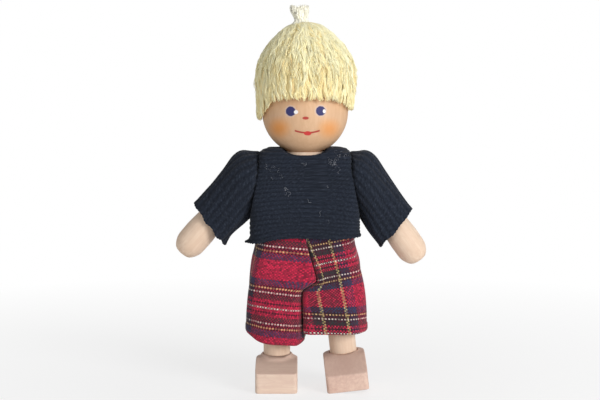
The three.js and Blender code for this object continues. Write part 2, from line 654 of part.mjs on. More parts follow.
// Loose ends of the yarn above the tie, leaning to the doll's right.
function hairTuft() {
  const tuft = revolve([
    [0, 0],
    [TUFT_NECK, 0],
    [TUFT_NECK, TIE_THICKNESS + CLEARANCE],
    [0.72 * TUFT_SPREAD, 0.5 * TUFT_HEIGHT],
    [TUFT_SPREAD, 0.86 * TUFT_HEIGHT],
    [0.9 * TUFT_SPREAD, TUFT_HEIGHT],
    [0, 0.95 * TUFT_HEIGHT],
  ], 20);
  const lean = new THREE.Matrix4().set(1, 0, -TUFT_LEAN, 0, 0, 1, 0, 0, 0, 0, 1, TUFT_BASE, 0, 0, 0, 1);
  return solid(tuft.applyMatrix4(lean));
}

// Thread tied round the foot of the tuft.
function hairTie() {
  const thread = TIE_THICKNESS / 2;
  const around = TUFT_NECK + CLEARANCE + thread;
  const tie = new THREE.TorusGeometry(around, thread, 8, 18);
  return solid(tie.translate(-TUFT_LEAN * thread, 0, TUFT_BASE + thread));
}

// Turned collar between body and head, dished to the ball.
function neckCollar() {
  const rim = -degrees(Math.acos(COLLAR_RADIUS / HEAD_SEAT_RADIUS));
  const hole = -degrees(Math.acos(NECK_BORE / HEAD_SEAT_RADIUS));
  return solid(revolve([
    [NECK_BORE, COLLAR_BOTTOM],
    [COLLAR_RADIUS, COLLAR_BOTTOM],
    ...arc(HEAD_SEAT_RADIUS, rim, hole, 4, HEAD_Z),
    [NECK_BORE, COLLAR_BOTTOM],
  ]));
}

function neckElastic() {
  const knot = HEAD_Z + CROWN_SEAT + CLEARANCE + NECK_KNOT_RADIUS;
  const cord = solid(rodZ(NECK_ELASTIC_RADIUS, TORSO_TOP - NECK_BORE_DEPTH + CLEARANCE, knot));
  return cord.add(solid(ball(NECK_KNOT_RADIUS, [0, 0, knot])));
}

// One side of the doll, built as its left side.
function side({ name, armAngle, splay, footHeight, toeHeight, sleeveHang, shoulderCorner, ...cut }) {
  const shoulderFloor = SHOULDER_HALF_WIDTH - LIMB_BORE_DEPTH - SHOULDER_X;
  const hipFloor = TAB_HALF_WIDTH - LIMB_BORE_DEPTH - HIP_X;
  const armHolder = group([0, 0, 0], piece(`${name}_arm`, arm(armAngle), WOOD));
  armHolder.rotation.y = -radians(armAngle);
  const shoulder = group(
    [SHOULDER_X, 0, SHOULDER_Z],
    piece(`${name}_arm_elastic`, limbElastic(shoulderFloor), WHITE_ELASTIC),
    piece(`${name}_sleeve`, sleeve(sleeveHang, shoulderCorner), NAVY_KNIT),
    armHolder,
  );
  const footHolder = group([0, 0, -HIP_HEIGHT], piece(`${name}_foot`, foot(footHeight, toeHeight), WOOD));
  const legHolder = group([0, 0, 0], piece(`${name}_leg`, leg(splay), WOOD), footHolder);
  legHolder.rotation.y = -radians(splay);
  const hip = group(
    [HIP_X, 0, HIP_Z + hipLift(splay)],
    piece(`${name}_leg_elastic`, limbElastic(hipFloor), WHITE_ELASTIC),
    legHolder,
  );
  return group([0, 0, 0], shoulder, hip, piece(`${name}_shorts_leg`, shortsHalf(cut), RED_TARTAN));
}

const sweater = sweaterBody();
const leftSide = side({
  name: 'left',
  armAngle: LEFT_ARM_ANGLE,
  splay: LEFT_SPLAY,
  footHeight: LEFT_FOOT_HEIGHT,
  toeHeight: LEFT_TOE_HEIGHT,
  sleeveHang: LEFT_SLEEVE_HANG,
  shoulderCorner: LEFT_SHOULDER_CORNER,
  inseam: LEFT_INSEAM,
  hemOuter: LEFT_HEM_OUTER,
  hemTilt: LEFT_HEM_TILT,
  bow: SEAM_BOW,
});
const rightSide = side({
  name: 'right',
  armAngle: RIGHT_ARM_ANGLE,
  splay: RIGHT_SPLAY,
  footHeight: RIGHT_FOOT_HEIGHT,
  toeHeight: RIGHT_TOE_HEIGHT,
  sleeveHang: RIGHT_SLEEVE_HANG,
  shoulderCorner: RIGHT_SHOULDER_CORNER,
  inseam: RIGHT_INSEAM,
  hemOuter: RIGHT_HEM_OUTER,
  hemTilt: RIGHT_HEM_TILT,
  bow: -SEAM_BOW,
});
rightSide.scale.x = -1;
const head = group(
  [0, 0, HEAD_Z],
  piece('head_ball', headBall(), FACE_WOOD),
  piece('hair_cap', hairCap(), YELLOW_YARN),
  piece('hair_tuft', hairTuft(), YELLOW_YARN),
  piece('hair_tie', hairTie(), YELLOW_YARN),
);

const figure = group(
  [0, 0, 0],
  piece('torso_block', torsoBlock(), WOOD),
  piece('sweater_front', sweaterPanel(sweater, -1), NAVY_KNIT),
  piece('sweater_back', sweaterPanel(sweater, 1), NAVY_KNIT),
  piece('waist_elastic', waistBand(), WHITE_ELASTIC),
  piece('neck_collar', neckCollar(), WOOD),
  piece('neck_elastic', neckElastic(), WHITE_ELASTIC),
  head,
  leftSide,
  rightSide,
);

// One arm reaches out farther than the other; the box round both stands over the middle.
const box = new THREE.Box3().setFromObject(figure, true);
figure.position.x = -(box.min.x + box.max.x) / 2;

const doll = new THREE.Group();
doll.name = 'doll';
doll.add(figure);

export default doll;
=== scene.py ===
"""A small jointed wooden doll in a knitted sweater and tartan shorts, dressed over its solid model.

Sizes are in millimetres in the model's frame: +Z up, the doll faces -Y, its left side is +X.
"""
import json
import math
from functools import partialmethod

import bmesh
import bpy
import numpy as np
from mathutils import Matrix, Vector


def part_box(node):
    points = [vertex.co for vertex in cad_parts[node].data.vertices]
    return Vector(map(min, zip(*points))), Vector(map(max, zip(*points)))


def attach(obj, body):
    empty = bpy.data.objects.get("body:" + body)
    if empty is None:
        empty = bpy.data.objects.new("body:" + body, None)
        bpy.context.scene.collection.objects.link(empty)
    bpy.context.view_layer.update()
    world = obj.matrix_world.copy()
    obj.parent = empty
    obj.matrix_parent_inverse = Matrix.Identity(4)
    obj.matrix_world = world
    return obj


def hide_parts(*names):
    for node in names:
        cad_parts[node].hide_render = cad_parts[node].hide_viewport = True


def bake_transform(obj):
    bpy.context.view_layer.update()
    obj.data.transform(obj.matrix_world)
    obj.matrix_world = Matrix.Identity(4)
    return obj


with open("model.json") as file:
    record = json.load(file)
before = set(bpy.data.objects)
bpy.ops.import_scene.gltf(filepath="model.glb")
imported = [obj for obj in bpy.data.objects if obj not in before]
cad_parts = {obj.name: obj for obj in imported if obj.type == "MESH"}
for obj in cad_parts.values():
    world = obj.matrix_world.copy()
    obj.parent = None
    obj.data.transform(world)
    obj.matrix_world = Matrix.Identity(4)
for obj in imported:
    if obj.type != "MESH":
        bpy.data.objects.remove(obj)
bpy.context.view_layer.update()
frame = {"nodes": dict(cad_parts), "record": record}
MM = 0.001
FULL_TURN = 2 * math.pi
SIDES = {"left": 1, "right": -1}

# Pivots, from the model's joints
PIVOT = {joint["name"]: np.array(joint["pos_m"]) / MM for joint in frame["record"]["behaviour"]["joints"]
         if "pos_m" in joint}
HEAD_CENTRE = PIVOT["head_nod"]
SHOULDER = {side: PIVOT[f"{side}_arm_swing"] for side in SIDES}
HIP = {side: PIVOT[f"{side}_leg_swing"] for side in SIDES}
MIDDLE = HEAD_CENTRE[0]
SHOULDER_OUT = SHOULDER["left"][0] - MIDDLE
SHOULDER_UP = SHOULDER["left"][2]

# Wooden pieces
HEAD_RADIUS = 11.0
COLLAR_RADIUS = 4.9
ARM_ANGLE = {"left": math.radians(35.3), "right": math.radians(41.3)}
ARM_BALL_RADIUS = 3.7
ARM_RADIUS = 3.45
HAND_RADIUS = 3.9
ARM_LENGTH = 28.4
LEG_RADIUS = 3.45
LEG_LENGTH = 32.0
SPLAY = {"left": math.radians(6.5), "right": 0.0}
FOOT_HALF_WIDTH = 5.35
TOE_REACH = 10.8
TOE_HEIGHT = {"left": 4.3, "right": 5.0}
FOOT_HEIGHT = {"left": 8.4, "right": 7.5}
SOCKET_RADIUS = 3.75
SOCKET_FLOOR = 2.9
FOOT_EDGE = 0.3
ANKLE_RISE = {"left": 0.25, "right": 1.15}
ANKLE_RISE_WIDTH = 1.5
ANKLE_RIM = 0.3
TOE_SQUARENESS = 18.0
INSTEP_SOFTNESS = 0.4
SOCKET_DEPTH = 5.0
SOCKET_LIP = 0.12
SOCKET_TAPER = 0.1
LEG_GAP = 0.3
COLLAR_GAP = 0.3
COLLAR_BORE = 1.2
CHAMFER = 0.3

# Knit
RIB_PITCH = 1.15
RIB_RELIEF = 0.08
SLEEVE_RIB = 1.8
SLEEVE_RIBS = 20
STITCH_PITCH = 0.9
KNIT_THICKNESS = 0.7

rng = np.random.default_rng(7)


# Mesh building

def hermite(stations, values, at):
    """Smooth values between a few stations."""
    stations = np.asarray(stations, float)
    values = np.asarray(values, float)
    slopes = np.gradient(values, stations)
    at = np.clip(at, stations[0], stations[-1])
    i = np.clip(np.searchsorted(stations, at) - 1, 0, len(stations) - 2)
    width = stations[i + 1] - stations[i]
    t = (at - stations[i]) / width
    return ((2 * t**3 - 3 * t**2 + 1) * values[i] + (t**3 - 2 * t**2 + t) * width * slopes[i]
            + (3 * t**2 - 2 * t**3) * values[i + 1] + (t**3 - t**2) * width * slopes[i + 1])


def smoothstep(low, high, value):
    t = np.clip((value - low) / (high - low), 0, 1)
    return t * t * (3 - 2 * t)


def run_length(first, second):
    """Distance along a line of points from its start."""
    return np.concatenate([[0], np.cumsum(np.hypot(np.diff(first), np.diff(second)))])


def round_angles(count):
    return np.linspace(0, FULL_TURN, count, endpoint=False)


def unit(vectors):
    return vectors / np.maximum(np.linalg.norm(vectors, axis=-1, keepdims=True), 1e-9)


def soft_limit(limit, value, softness):
    """The smaller of a limit and a value, rounded over where they meet."""
    return limit - softness * np.logaddexp(0, (limit - value) / softness)


def squared_off(wave, power):
    """A sine or cosine bent so that the circle it draws becomes a rounded square."""
    return np.sign(wave) * np.abs(wave) ** (2 / power)


def moved(place):
    return Matrix.Translation(Vector(place) * MM)


def new_object(name, points, faces, material, uv=None, at=Matrix()):
    """A smooth mesh from points in millimetres; uv has one pair for each face corner."""
    mesh = bpy.data.meshes.new(name)
    mesh.from_pydata((np.reshape(points, (-1, 3)) * MM).tolist(), [], np.asarray(faces).tolist())
    mesh.shade_smooth()
    if uv is not None:
        mesh.uv_layers.new(name="UVMap").data.foreach_set("uv", np.asarray(uv, np.float32).ravel())
    mesh.materials.append(material)
    mesh.validate()
    mesh.update()
    piece = bpy.data.objects.new(name, mesh)
    bpy.context.scene.collection.objects.link(piece)
    piece.matrix_world = at
    return piece


def tube_faces(rows, columns, wrap_rows=False):
    """Quads of a grid whose columns close into loops."""
    last = rows if wrap_rows else rows - 1
    i, j = np.meshgrid(np.arange(last), np.arange(columns), indexing="ij")
    below = (i + 1) % rows
    right = (j + 1) % columns
    corners = [(i, j), (i, right), (below, right), (below, j)]
    return np.stack([row * columns + column for row, column in corners], -1).reshape(-1, 4)


def tube_uv(u, v):
    """Corner coordinates of wrapped tube_faces, from grids with one more column than the mesh."""
    rows = len(u)
    i, j = np.meshgrid(np.arange(rows), np.arange(u.shape[1] - 1), indexing="ij")
    below = (i + 1) % rows
    corners = [(i, j), (i, j + 1), (below, j + 1), (below, j)]
    return np.stack([np.stack([u[a, b], v[a, b]], -1) for a, b in corners], 2).reshape(-1, 4, 2)


def steps_round(grid):
    """Distance from each point of a grid to the next one round the tube."""
    return np.linalg.norm(np.roll(grid, -1, 1) - grid, axis=-1)


def outward_normals(grid, centre):
    """Unit normals of a grid whose columns close into loops, pointing away from a centre."""
    along = np.gradient(grid, axis=0)
    around = np.roll(grid, -1, 1) - np.roll(grid, 1, 1)
    normal = unit(np.cross(around, along))
    return normal * np.sign((normal * (grid - centre)).sum(-1, keepdims=True))


def set_attribute(piece, name, values):
    """One number for each point of a mesh, for its material."""
    layer = piece.data.attributes.new(name, "FLOAT", "POINT")
    layer.data.foreach_set("value", np.asarray(values, np.float32))


def two_skins(outer, inner, every):
    """Rows down the outer skin, then back up fewer rows of the inner one."""
    return np.concatenate([outer, inner[::-every][:-1], inner[:1]])


def two_skins_uv(u, v, last_step, every):
    """Cloth coordinates of both skins, with one more column that meets the first round the tube."""
    u = np.concatenate([u, u[:, -1:] + last_step], 1)
    v = np.concatenate([v, v[:, :1]], 1)
    return two_skins(u, u, every), two_skins(v, v, every)


def cloth(name, grid, u, v, material, flip):
    """A wrapped grid with its cloth coordinates; flip turns its faces the other way out."""
    faces, uv = tube_faces(*grid.shape[:2], True), tube_uv(u, v)
    if flip:
        faces, uv = faces[:, ::-1], uv[:, ::-1]
    return new_object(name, grid, faces, material, uv)


def lathe(name, profile, material, at, sides=72):
    """A turned piece about Z from a profile of (radius, z)."""
    radius, z = np.split(np.array(profile), 2, axis=1)
    angle = round_angles(sides)
    grid = np.stack([radius * np.cos(angle), radius * np.sin(angle), np.repeat(z, sides, 1)], -1)
    return new_object(name, grid, tube_faces(len(grid), sides)[:, ::-1], material, at=at)


def arc(radius, start, end, steps, z=0.0):
    """Part of a circle in a profile, in degrees from straight out."""
    angle = np.radians(np.linspace(start, end, steps))
    return [(radius * math.cos(a), z + radius * math.sin(a)) for a in angle]


# Materials

class Look:
    """A procedural material, built node by node."""

    def __init__(self, name, roughness=0.6, sheen=0.0, specular=0.5):
        self.material = bpy.data.materials.new(name)
        self.material.use_nodes = True
        self.tree = self.material.node_tree
        self.shader = self.tree.nodes["Principled BSDF"]
        settings = {"Roughness": roughness, "Sheen Weight": sheen, "Specular IOR Level": specular}
        for key, value in settings.items():
            self.shader.inputs[key].default_value = value
        self.base = None

    def node(self, kind, inputs=(), **settings):
        made = self.tree.nodes.new(kind)
        for key, value in settings.items():
            setattr(made, key, value)
        for key, value in dict(inputs).items():
            self.put(made.inputs[key], value)
        return made

    def put(self, socket, value):
        if isinstance(value, bpy.types.NodeSocket):
            self.tree.links.new(value, socket)
        else:
            socket.default_value = value

    def math(self, operation, *values):
        return self.node("ShaderNodeMath", enumerate(values), operation=operation).outputs[0]

    times = partialmethod(math, "MULTIPLY")
    plus = partialmethod(math, "ADD")
    minus = partialmethod(math, "SUBTRACT")
    divide = partialmethod(math, "DIVIDE")

    def remap(self, value, low, high, to_low=0.0, to_high=1.0, kind="LINEAR"):
        """The value's place between low and high, on another scale."""
        inputs = {0: value, 1: low, 2: high, 3: to_low, 4: to_high}
        return self.node("ShaderNodeMapRange", inputs, interpolation_type=kind).outputs[0]

    def attribute(self, name):
        return self.node("ShaderNodeAttribute", attribute_name=name).outputs["Fac"]

    def blend(self, factor, first, second):
        return self.node("ShaderNodeMix", {0: factor, 6: first, 7: second}, data_type="RGBA").outputs[2]

    def ramp(self, factor, stops, hard=False):
        made = self.node("ShaderNodeValToRGB", {0: factor})
        made.color_ramp.interpolation = "CONSTANT" if hard else "LINEAR"
        elements = made.color_ramp.elements
        while len(elements) < len(stops):
            elements.new(0.5)
        for element, (place, colour) in zip(elements, stops):
            element.position = place
            element.color = colour
        return made.outputs[0]

    def noise(self, vector, scale, detail=3.0, rough=0.5):
        inputs = {"Vector": vector, "Scale": scale, "Detail": detail, "Roughness": rough}
        return self.node("ShaderNodeTexNoise", inputs).outputs["Fac"]

    def place(self, stretch=(1, 1, 1)):
        """Object coordinates in millimetres, stretched along the axes."""
        spot = self.node("ShaderNodeTexCoord").outputs["Object"]
        scale = [value / MM for value in stretch]
        return self.node("ShaderNodeVectorMath", {0: spot, 1: scale}, operation="MULTIPLY").outputs[0]

    def uv(self):
        """Cloth coordinates in millimetres, across and along."""
        spot = self.node("ShaderNodeTexCoord").outputs["UV"]
        parts = self.node("ShaderNodeSeparateXYZ", {0: spot})
        return spot, parts.outputs[0], parts.outputs[1]

    def bump(self, height, strength, distance):
        inputs = {"Height": height, "Strength": strength, "Distance": distance * MM}
        self.put(self.shader.inputs["Normal"], self.node("ShaderNodeBump", inputs).outputs[0])

    def paint(self, share, colour):
        """Lays a share of a colour over what the material has so far."""
        self.base = self.blend(share, self.base, colour)

    def done(self):
        self.put(self.shader.inputs["Base Color"], self.base)
        return self.material


def rgb(*screen):
    """A colour as it looks on a screen, 0 to 255, as linear light."""
    shares = [value / 255 for value in screen]
    return (*[c / 12.92 if c <= 0.04045 else ((c + 0.055) / 1.055) ** 2.4 for c in shares], 1.0)


def grain(look, pale, dark, axis=2):
    """Straight wood grain along one axis: growth lines, fine pores and broad mottling."""
    def stretched(across, along):
        return look.place([along if k == axis else across for k in range(3)])

    broad = look.noise(stretched(0.2, 0.04), 1.0, 2.0)
    lines = look.noise(stretched(1.3, 0.08), 1.0, 4.0, 0.6)
    pores = look.noise(stretched(6.0, 0.5), 1.0, 2.0, 0.7)
    mixed = look.plus(look.times(broad, 0.45), look.times(lines, 0.55))
    look.base = look.ramp(mixed, [(0.36, dark), (0.6, pale)])
    look.paint(look.times(look.math("GREATER_THAN", pores, 0.63), 0.14), dark)
    rings = look.math("FRACT", look.times(look.noise(stretched(0.22, 0.06), 1.0, 2.0), 11.0))
    look.paint(look.remap(rings, 0.55, 0.97, 0.0, 0.5), dark)
    look.put(look.shader.inputs["Roughness"], look.plus(0.5, look.times(lines, 0.22)))
    look.bump(look.plus(lines, look.times(pores, 0.4)), 0.2, 0.06)


def pale_wood(name, pale, dark, axis=2, top_shade_share=0.0):
    """Bare sanded wood; where an attribute marks a foot's top and instep, painted shade darkens them."""
    look = Look(name)
    grain(look, pale, dark, axis)
    if top_shade_share:
        # Painted shade: the marked top and instep are darkened toward a pinkish brown.
        look.paint(look.times(look.attribute("top_shade"), top_shade_share), rgb(207, 175, 160))
    return look.done()


# Painted face, in millimetres across and up from the ball's centre: places, then half sizes or a strength
CHEEKS = ((-6.6, -4.1, 0.85), (6.1, -4.3, 0.7))
CHEEK_SIZE = (2.1, 1.9)
EYES = ((-3.62, 0.12), (3.85, 0.22))
EYE_RADIUS = 1.2
EYE_RING_RADIUS = 1.48
EYE_LIGHTS = ((-2.28, -0.05, 0.52, 0.48), (4.72, 0.14, 0.36, 0.48))
NOSE = (0.1, -1.55, 0.8, 0.38)
LIPS = (0.6, -5.35, 0.95, 0.55)
SMILE = (0.5, -5.2)
SMILE_CURVE = 0.055
SMILE_HALF_WIDTH = 3.1
STROKE_EDGE = (0.28, 0.15)


def painted_head():
    """Sanded wood with a simple painted face."""
    look = Look("painted_head")
    grain(look, rgb(224, 185, 148), rgb(214, 172, 134))
    x, y, z = look.node("ShaderNodeSeparateXYZ", {0: look.place()}).outputs
    front = look.math("LESS_THAN", y, 0.0)
    brush = look.times(look.minus(look.noise(look.place(), 2.2), 0.5), 0.25)

    def oval(cx, cz, half_width, half_height, soft):
        across = look.divide(look.minus(x, cx), half_width)
        up = look.divide(look.minus(z, cz), half_height)
        reach = look.math("SQRT", look.plus(look.times(across, across), look.times(up, up)))
        inside = look.remap(look.plus(reach, brush), 1.0 + soft, 1.0 - soft, kind="SMOOTHSTEP")
        return look.times(inside, front)

    for cx, cz, strength in CHEEKS:
        look.paint(look.times(oval(cx, cz, *CHEEK_SIZE, 0.9), strength), rgb(235, 152, 68))
    for cx, cz in EYES:
        ring = look.times(oval(cx, cz, EYE_RING_RADIUS, EYE_RING_RADIUS, 0.12), 0.5)
        look.paint(ring, rgb(206, 190, 192))
        look.paint(oval(cx, cz, EYE_RADIUS, EYE_RADIUS, 0.07), rgb(44, 44, 102))
    for light in EYE_LIGHTS:
        look.paint(oval(*light, 0.2), rgb(248, 244, 244))
    look.paint(oval(*NOSE, 0.25), rgb(178, 60, 50))
    middle = look.minus(x, SMILE[0])
    smile = look.plus(look.times(look.times(middle, middle), SMILE_CURVE), SMILE[1])
    stroke = look.math("ABSOLUTE", look.minus(z, smile))
    stroke = look.plus(stroke, look.times(brush, 0.3))
    line = look.remap(stroke, *STROKE_EDGE)
    ends = look.math("LESS_THAN", look.math("ABSOLUTE", middle), SMILE_HALF_WIDTH)
    look.paint(look.times(look.times(line, ends), front), rgb(176, 56, 48))
    look.paint(oval(*LIPS, 0.15), rgb(206, 58, 56))
    return look.done()


def navy_knit(name, ribs_across):
    """Dark knitted wool: flecked yarn, ribs with shaded valleys and small stitches."""
    look = Look(name, roughness=1.0, sheen=0.06, specular=0.1)
    spot, u, v = look.uv()
    along, pitch = (v, RIB_PITCH) if ribs_across else (u, SLEEVE_RIB)
    stitched = u if ribs_across else v
    fleck = look.noise(spot, 1.6, 4.0, 0.7)
    look.base = look.ramp(fleck, [(0.3, rgb(22, 26, 33)), (0.55, rgb(40, 45, 55)), (0.8, rgb(70, 76, 88))])
    look.paint(look.times(look.noise(spot, 0.16, 2.0), 0.35), rgb(42, 50, 66))
    lean = look.math("PINGPONG", look.divide(stitched, STITCH_PITCH / 2), 1.0)
    rib = look.plus(look.divide(along, pitch), look.times(lean, 0.12))
    crest = look.math("COSINE", look.times(rib, FULL_TURN))
    look.paint(look.remap(crest, 0.1, -0.9, 0.0, 0.3), rgb(14, 16, 22))
    row = look.plus(look.divide(v, RIB_PITCH / 2), look.times(lean, 0.45))
    stitch = look.math("SINE", look.times(row, FULL_TURN))
    look.bump(look.plus(stitch, look.times(fleck, 2.0)), 0.35, 0.1)
    return look.done()


RED, GREEN, BLACK = rgb(236, 42, 82), rgb(26, 58, 56), rgb(26, 20, 32)
BLUE, YELLOW, LEMON, WHITE = rgb(40, 66, 104), rgb(242, 200, 138), rgb(255, 242, 160), rgb(252, 238, 226)
THREAD = 0.392
# Threads of the weft from the middle white line to the middle of the wide red, and back.
WEFT = [(1, WHITE), (2, RED), (1, BLACK), (2, RED), (3, GREEN), (1, BLACK), (1, WHITE), (2, BLACK),
        (1, YELLOW), (1, BLACK), (4, BLUE), (7, RED)]
# Threads of the warp over one repeat, from a lemon line.
WARP = [(2, LEMON), (2, BLACK), (4, GREEN), (1, BLACK), (4, GREEN), (2, BLACK), (2, LEMON), (1, BLACK),
        (6, BLUE), (42, RED), (5, GREEN)]


def tartan(name, warp_from, weft_from, weft_share):
    """Plain-woven tartan: each thread has one colour, and warp and weft show by turns."""
    look = Look(name, roughness=0.9, sheen=0.15, specular=0.15)
    spot, u, v = look.uv()

    def thread(along, start):
        return look.math("FLOOR", look.divide(look.minus(along, start), THREAD))

    def wave(along, start):
        return look.math("SINE", look.times(look.minus(along, start), math.pi / THREAD))

    def repeat(sett):
        return float(sum(count for count, colour in sett))

    def stripes(place, sett):
        total = repeat(sett)
        edges = np.cumsum([0] + [count for count, colour in sett[:-1]]) / total
        share = look.divide(look.plus(place, 0.5), total)
        return look.ramp(share, [(edge, colour) for edge, (count, colour) in zip(edges, sett)], hard=True)

    stray = look.times(look.minus(look.noise(spot, 0.9, 3.0, 0.7), 0.5), 0.6 * THREAD)
    weft_thread = thread(look.plus(v, stray), weft_from)
    warp_thread = thread(look.minus(u, stray), warp_from)
    weft = stripes(look.math("PINGPONG", weft_thread, repeat(WEFT) - 1.0), WEFT)
    warp = stripes(look.math("FLOORED_MODULO", warp_thread, repeat(WARP)), WARP)
    cell = look.times(wave(u, warp_from), wave(v, weft_from))
    over = look.remap(cell, -weft_share - 0.15, 0.15 - weft_share)
    fleck = look.noise(spot, 1.3, 4.0, 0.75)
    # Painted shade: the warp's colours are darkened toward black, so that where warp and weft share a dye
    # the warp shows darker.
    look.base = look.blend(over, look.blend(0.42, warp, BLACK), weft)
    crossing = look.node("ShaderNodeCombineXYZ", {0: warp_thread, 1: weft_thread}).outputs[0]
    chance = look.node("ShaderNodeTexWhiteNoise", {"Vector": crossing}).outputs["Value"]
    look.paint(look.remap(chance, 0.3, 1.0, 0.0, 0.75), rgb(74, 20, 40))
    # Painted shade in the gaps between crossing threads, darkest where the weave dips.
    crown = look.math("ABSOLUTE", cell)
    look.paint(look.remap(crown, 0.3, 0.0, 0.0, 0.45), rgb(58, 18, 34))
    look.paint(look.remap(fleck, 0.4, 0.75, 0.0, 0.55), rgb(54, 22, 36))
    look.paint(look.times(look.noise(spot, 0.2, 2.0), 0.14), rgb(150, 96, 108))
    look.bump(look.plus(crown, fleck), 0.5, 0.1)
    return look.done()


def yarn(name, pale, mid, dark):
    """Loose yarn: the strand attribute shifts each strand's shade; in the hair it also carries painted
    shade for deeper strands and the under layer.
    """
    look = Look(name, roughness=0.8, specular=0.2)
    fine = look.noise(look.place((3.0, 3.0, 0.6)), 1.0, 3.0, 0.6)
    level = look.plus(look.times(look.attribute("strand"), 0.75), look.times(fine, 0.25))
    look.base = look.ramp(level, [(0.12, dark), (0.45, mid), (0.85, pale)])
    return look.done()


def elastic():
    """Covered elastic: a fine braid over a round core."""
    look = Look("elastic", roughness=0.75)
    spot = look.place()
    threads = {"Color1": rgb(240, 236, 226), "Color2": rgb(218, 212, 200)}
    weave = look.node("ShaderNodeTexChecker", {"Vector": spot, "Scale": 2.6, **threads})
    look.base = look.blend(look.noise(spot, 1.4), weave.outputs[0], rgb(228, 222, 210))
    look.bump(weave.outputs["Fac"], 0.3, 0.05)
    return look.done()


WOOD = pale_wood("pale_wood", rgb(243, 219, 196), rgb(228, 198, 172))
FOOT_WOOD = {"left": pale_wood("left_foot_wood", rgb(230, 200, 182), rgb(212, 176, 160), 1, 0.5),
             "right": pale_wood("right_foot_wood", rgb(238, 214, 194), rgb(224, 194, 176), 0, 0.5)}
HEAD_WOOD = painted_head()
BODY_KNIT = navy_knit("body_knit", True)
SLEEVE_KNIT = navy_knit("sleeve_knit", False)
HAIR = yarn("pale_yarn", rgb(255, 250, 212), rgb(255, 239, 182), rgb(240, 209, 150))
TUFT_YARN = yarn("tuft_yarn", rgb(255, 253, 240), rgb(255, 250, 230), rgb(252, 244, 216))
ELASTIC = elastic()


# Wooden pieces

def hung_from(pivot, side, angle):
    """Where a limb hangs: at its pivot, swung out to its side."""
    return moved(pivot[side]) @ Matrix.Rotation(-SIDES[side] * angle[side], 4, "Y")


def turned_arm(side):
    hand_z = [0, 0.5, 2.4, 6, 12, 18]
    wrist = 0.3 * HAND_RADIUS + 0.7 * ARM_RADIUS
    hand_r = [0, 0.55 * HAND_RADIUS, 0.9 * HAND_RADIUS, HAND_RADIUS, wrist, ARM_RADIUS]
    run = run_length(hand_z, hand_r)
    profile = [(max(hermite(run, hand_r, at), 0.0), hermite(run, hand_z, at) - ARM_LENGTH)
               for at in np.linspace(0, run[-1], 34)]
    profile += arc(ARM_BALL_RADIUS, -21, 90, 16)
    return lathe(f"{side}_turned_arm", profile, WOOD, hung_from(SHOULDER, side, ARM_ANGLE))


def dowel_leg(side):
    foot = SOCKET_FLOOR + LEG_GAP - LEG_LENGTH
    profile = [(0, foot), (LEG_RADIUS - CHAMFER, foot), (LEG_RADIUS, foot + CHAMFER)]
    profile += [(LEG_RADIUS, z) for z in np.linspace(foot + 1, -0.5, 8)]
    profile += arc(LEG_RADIUS, 0, 90, 14)
    return lathe(f"{side}_dowel_leg", profile, WOOD, hung_from(HIP, side, SPLAY))


def block_foot(side):
    """Foot block: round heel, flat toe, sloped instep and a socket for the leg."""
    columns = 288
    angle = round_angles(columns) + math.pi / 2
    way = np.stack([np.cos(angle), np.sin(angle)], -1)
    reach = np.full(columns, FOOT_HALF_WIDTH)
    ahead = way[:, 1] < 0
    flat = np.abs(way[ahead]) / (FOOT_HALF_WIDTH, TOE_REACH)
    reach[ahead] = (flat**TOE_SQUARENESS).sum(1) ** (-1 / TOE_SQUARENESS)
    outline = way * reach[:, None]
    ankle = SOCKET_RADIUS + ANKLE_RIM
    height = FOOT_HEIGHT[side]
    fall = (height - TOE_HEIGHT[side]) / (TOE_REACH - ankle)

    def top(points):
        slope = height + (points[:, 1] + ankle) * fall
        sloped = soft_limit(height, slope, INSTEP_SOFTNESS)
        near = 1 - (np.hypot(points[:, 0], points[:, 1]) - SOCKET_RADIUS) / ANKLE_RISE_WIDTH
        return sloped + ANKLE_RISE[side] * np.clip(near, 0, 1) ** 2

    def at_height(points, z):
        return np.column_stack([points, np.broadcast_to(z, columns)])

    def ring(inset, z):
        return at_height(outline * (1 - inset / reach)[:, None], z)

    rings = [ring(reach * 0.999, 0.0), ring(reach * 0.5, 0.0)]
    round_over = np.radians(np.linspace(0, 90, 5))
    for a in round_over:
        rings.append(ring(FOOT_EDGE * (1 - math.sin(a)), FOOT_EDGE * (1 - math.cos(a))))
    rim = top(outline)
    for share in (0.25, 0.5, 0.75):
        rings.append(ring(0.0, FOOT_EDGE + (rim - 2 * FOOT_EDGE) * share))
    wall_rows = len(rings)
    for a in round_over:
        inset = FOOT_EDGE * (1 - math.cos(a))
        rings.append(ring(inset, top(ring(inset, 0)) - FOOT_EDGE * (1 - math.sin(a))))
    socket = way * SOCKET_RADIUS
    edge = ring(FOOT_EDGE, 0)[:, :2]
    for share in np.linspace(0.08, 1, 10):
        points = edge + (socket - edge) * share
        rings.append(at_height(points, top(points)))
    rings[-1][:, 2] -= SOCKET_LIP
    bore = SOCKET_RADIUS - SOCKET_TAPER
    for radius, depth in ((bore, 0.5), (bore, SOCKET_DEPTH), (0.01, SOCKET_DEPTH)):
        rings.append(at_height(way * radius, height - depth))
    faces = tube_faces(len(rings), columns)[:, ::-1]
    place = hung_from(HIP, side, SPLAY) @ moved((0, 0, -LEG_LENGTH))
    piece = new_object(f"{side}_block_foot", np.array(rings), faces, FOOT_WOOD[side], at=place)
    # Painted shade: rows from the rounding over the top inward are marked to be darkened.
    top_shade = np.clip((np.arange(len(rings)) - wall_rows) / 3.0, 0, 1)
    set_attribute(piece, "top_shade", np.repeat(top_shade, columns))
    return piece


def ball_head():
    return lathe("ball_head", arc(HEAD_RADIUS, -90, 90, 72), HEAD_WOOD, moved(HEAD_CENTRE), sides=120)


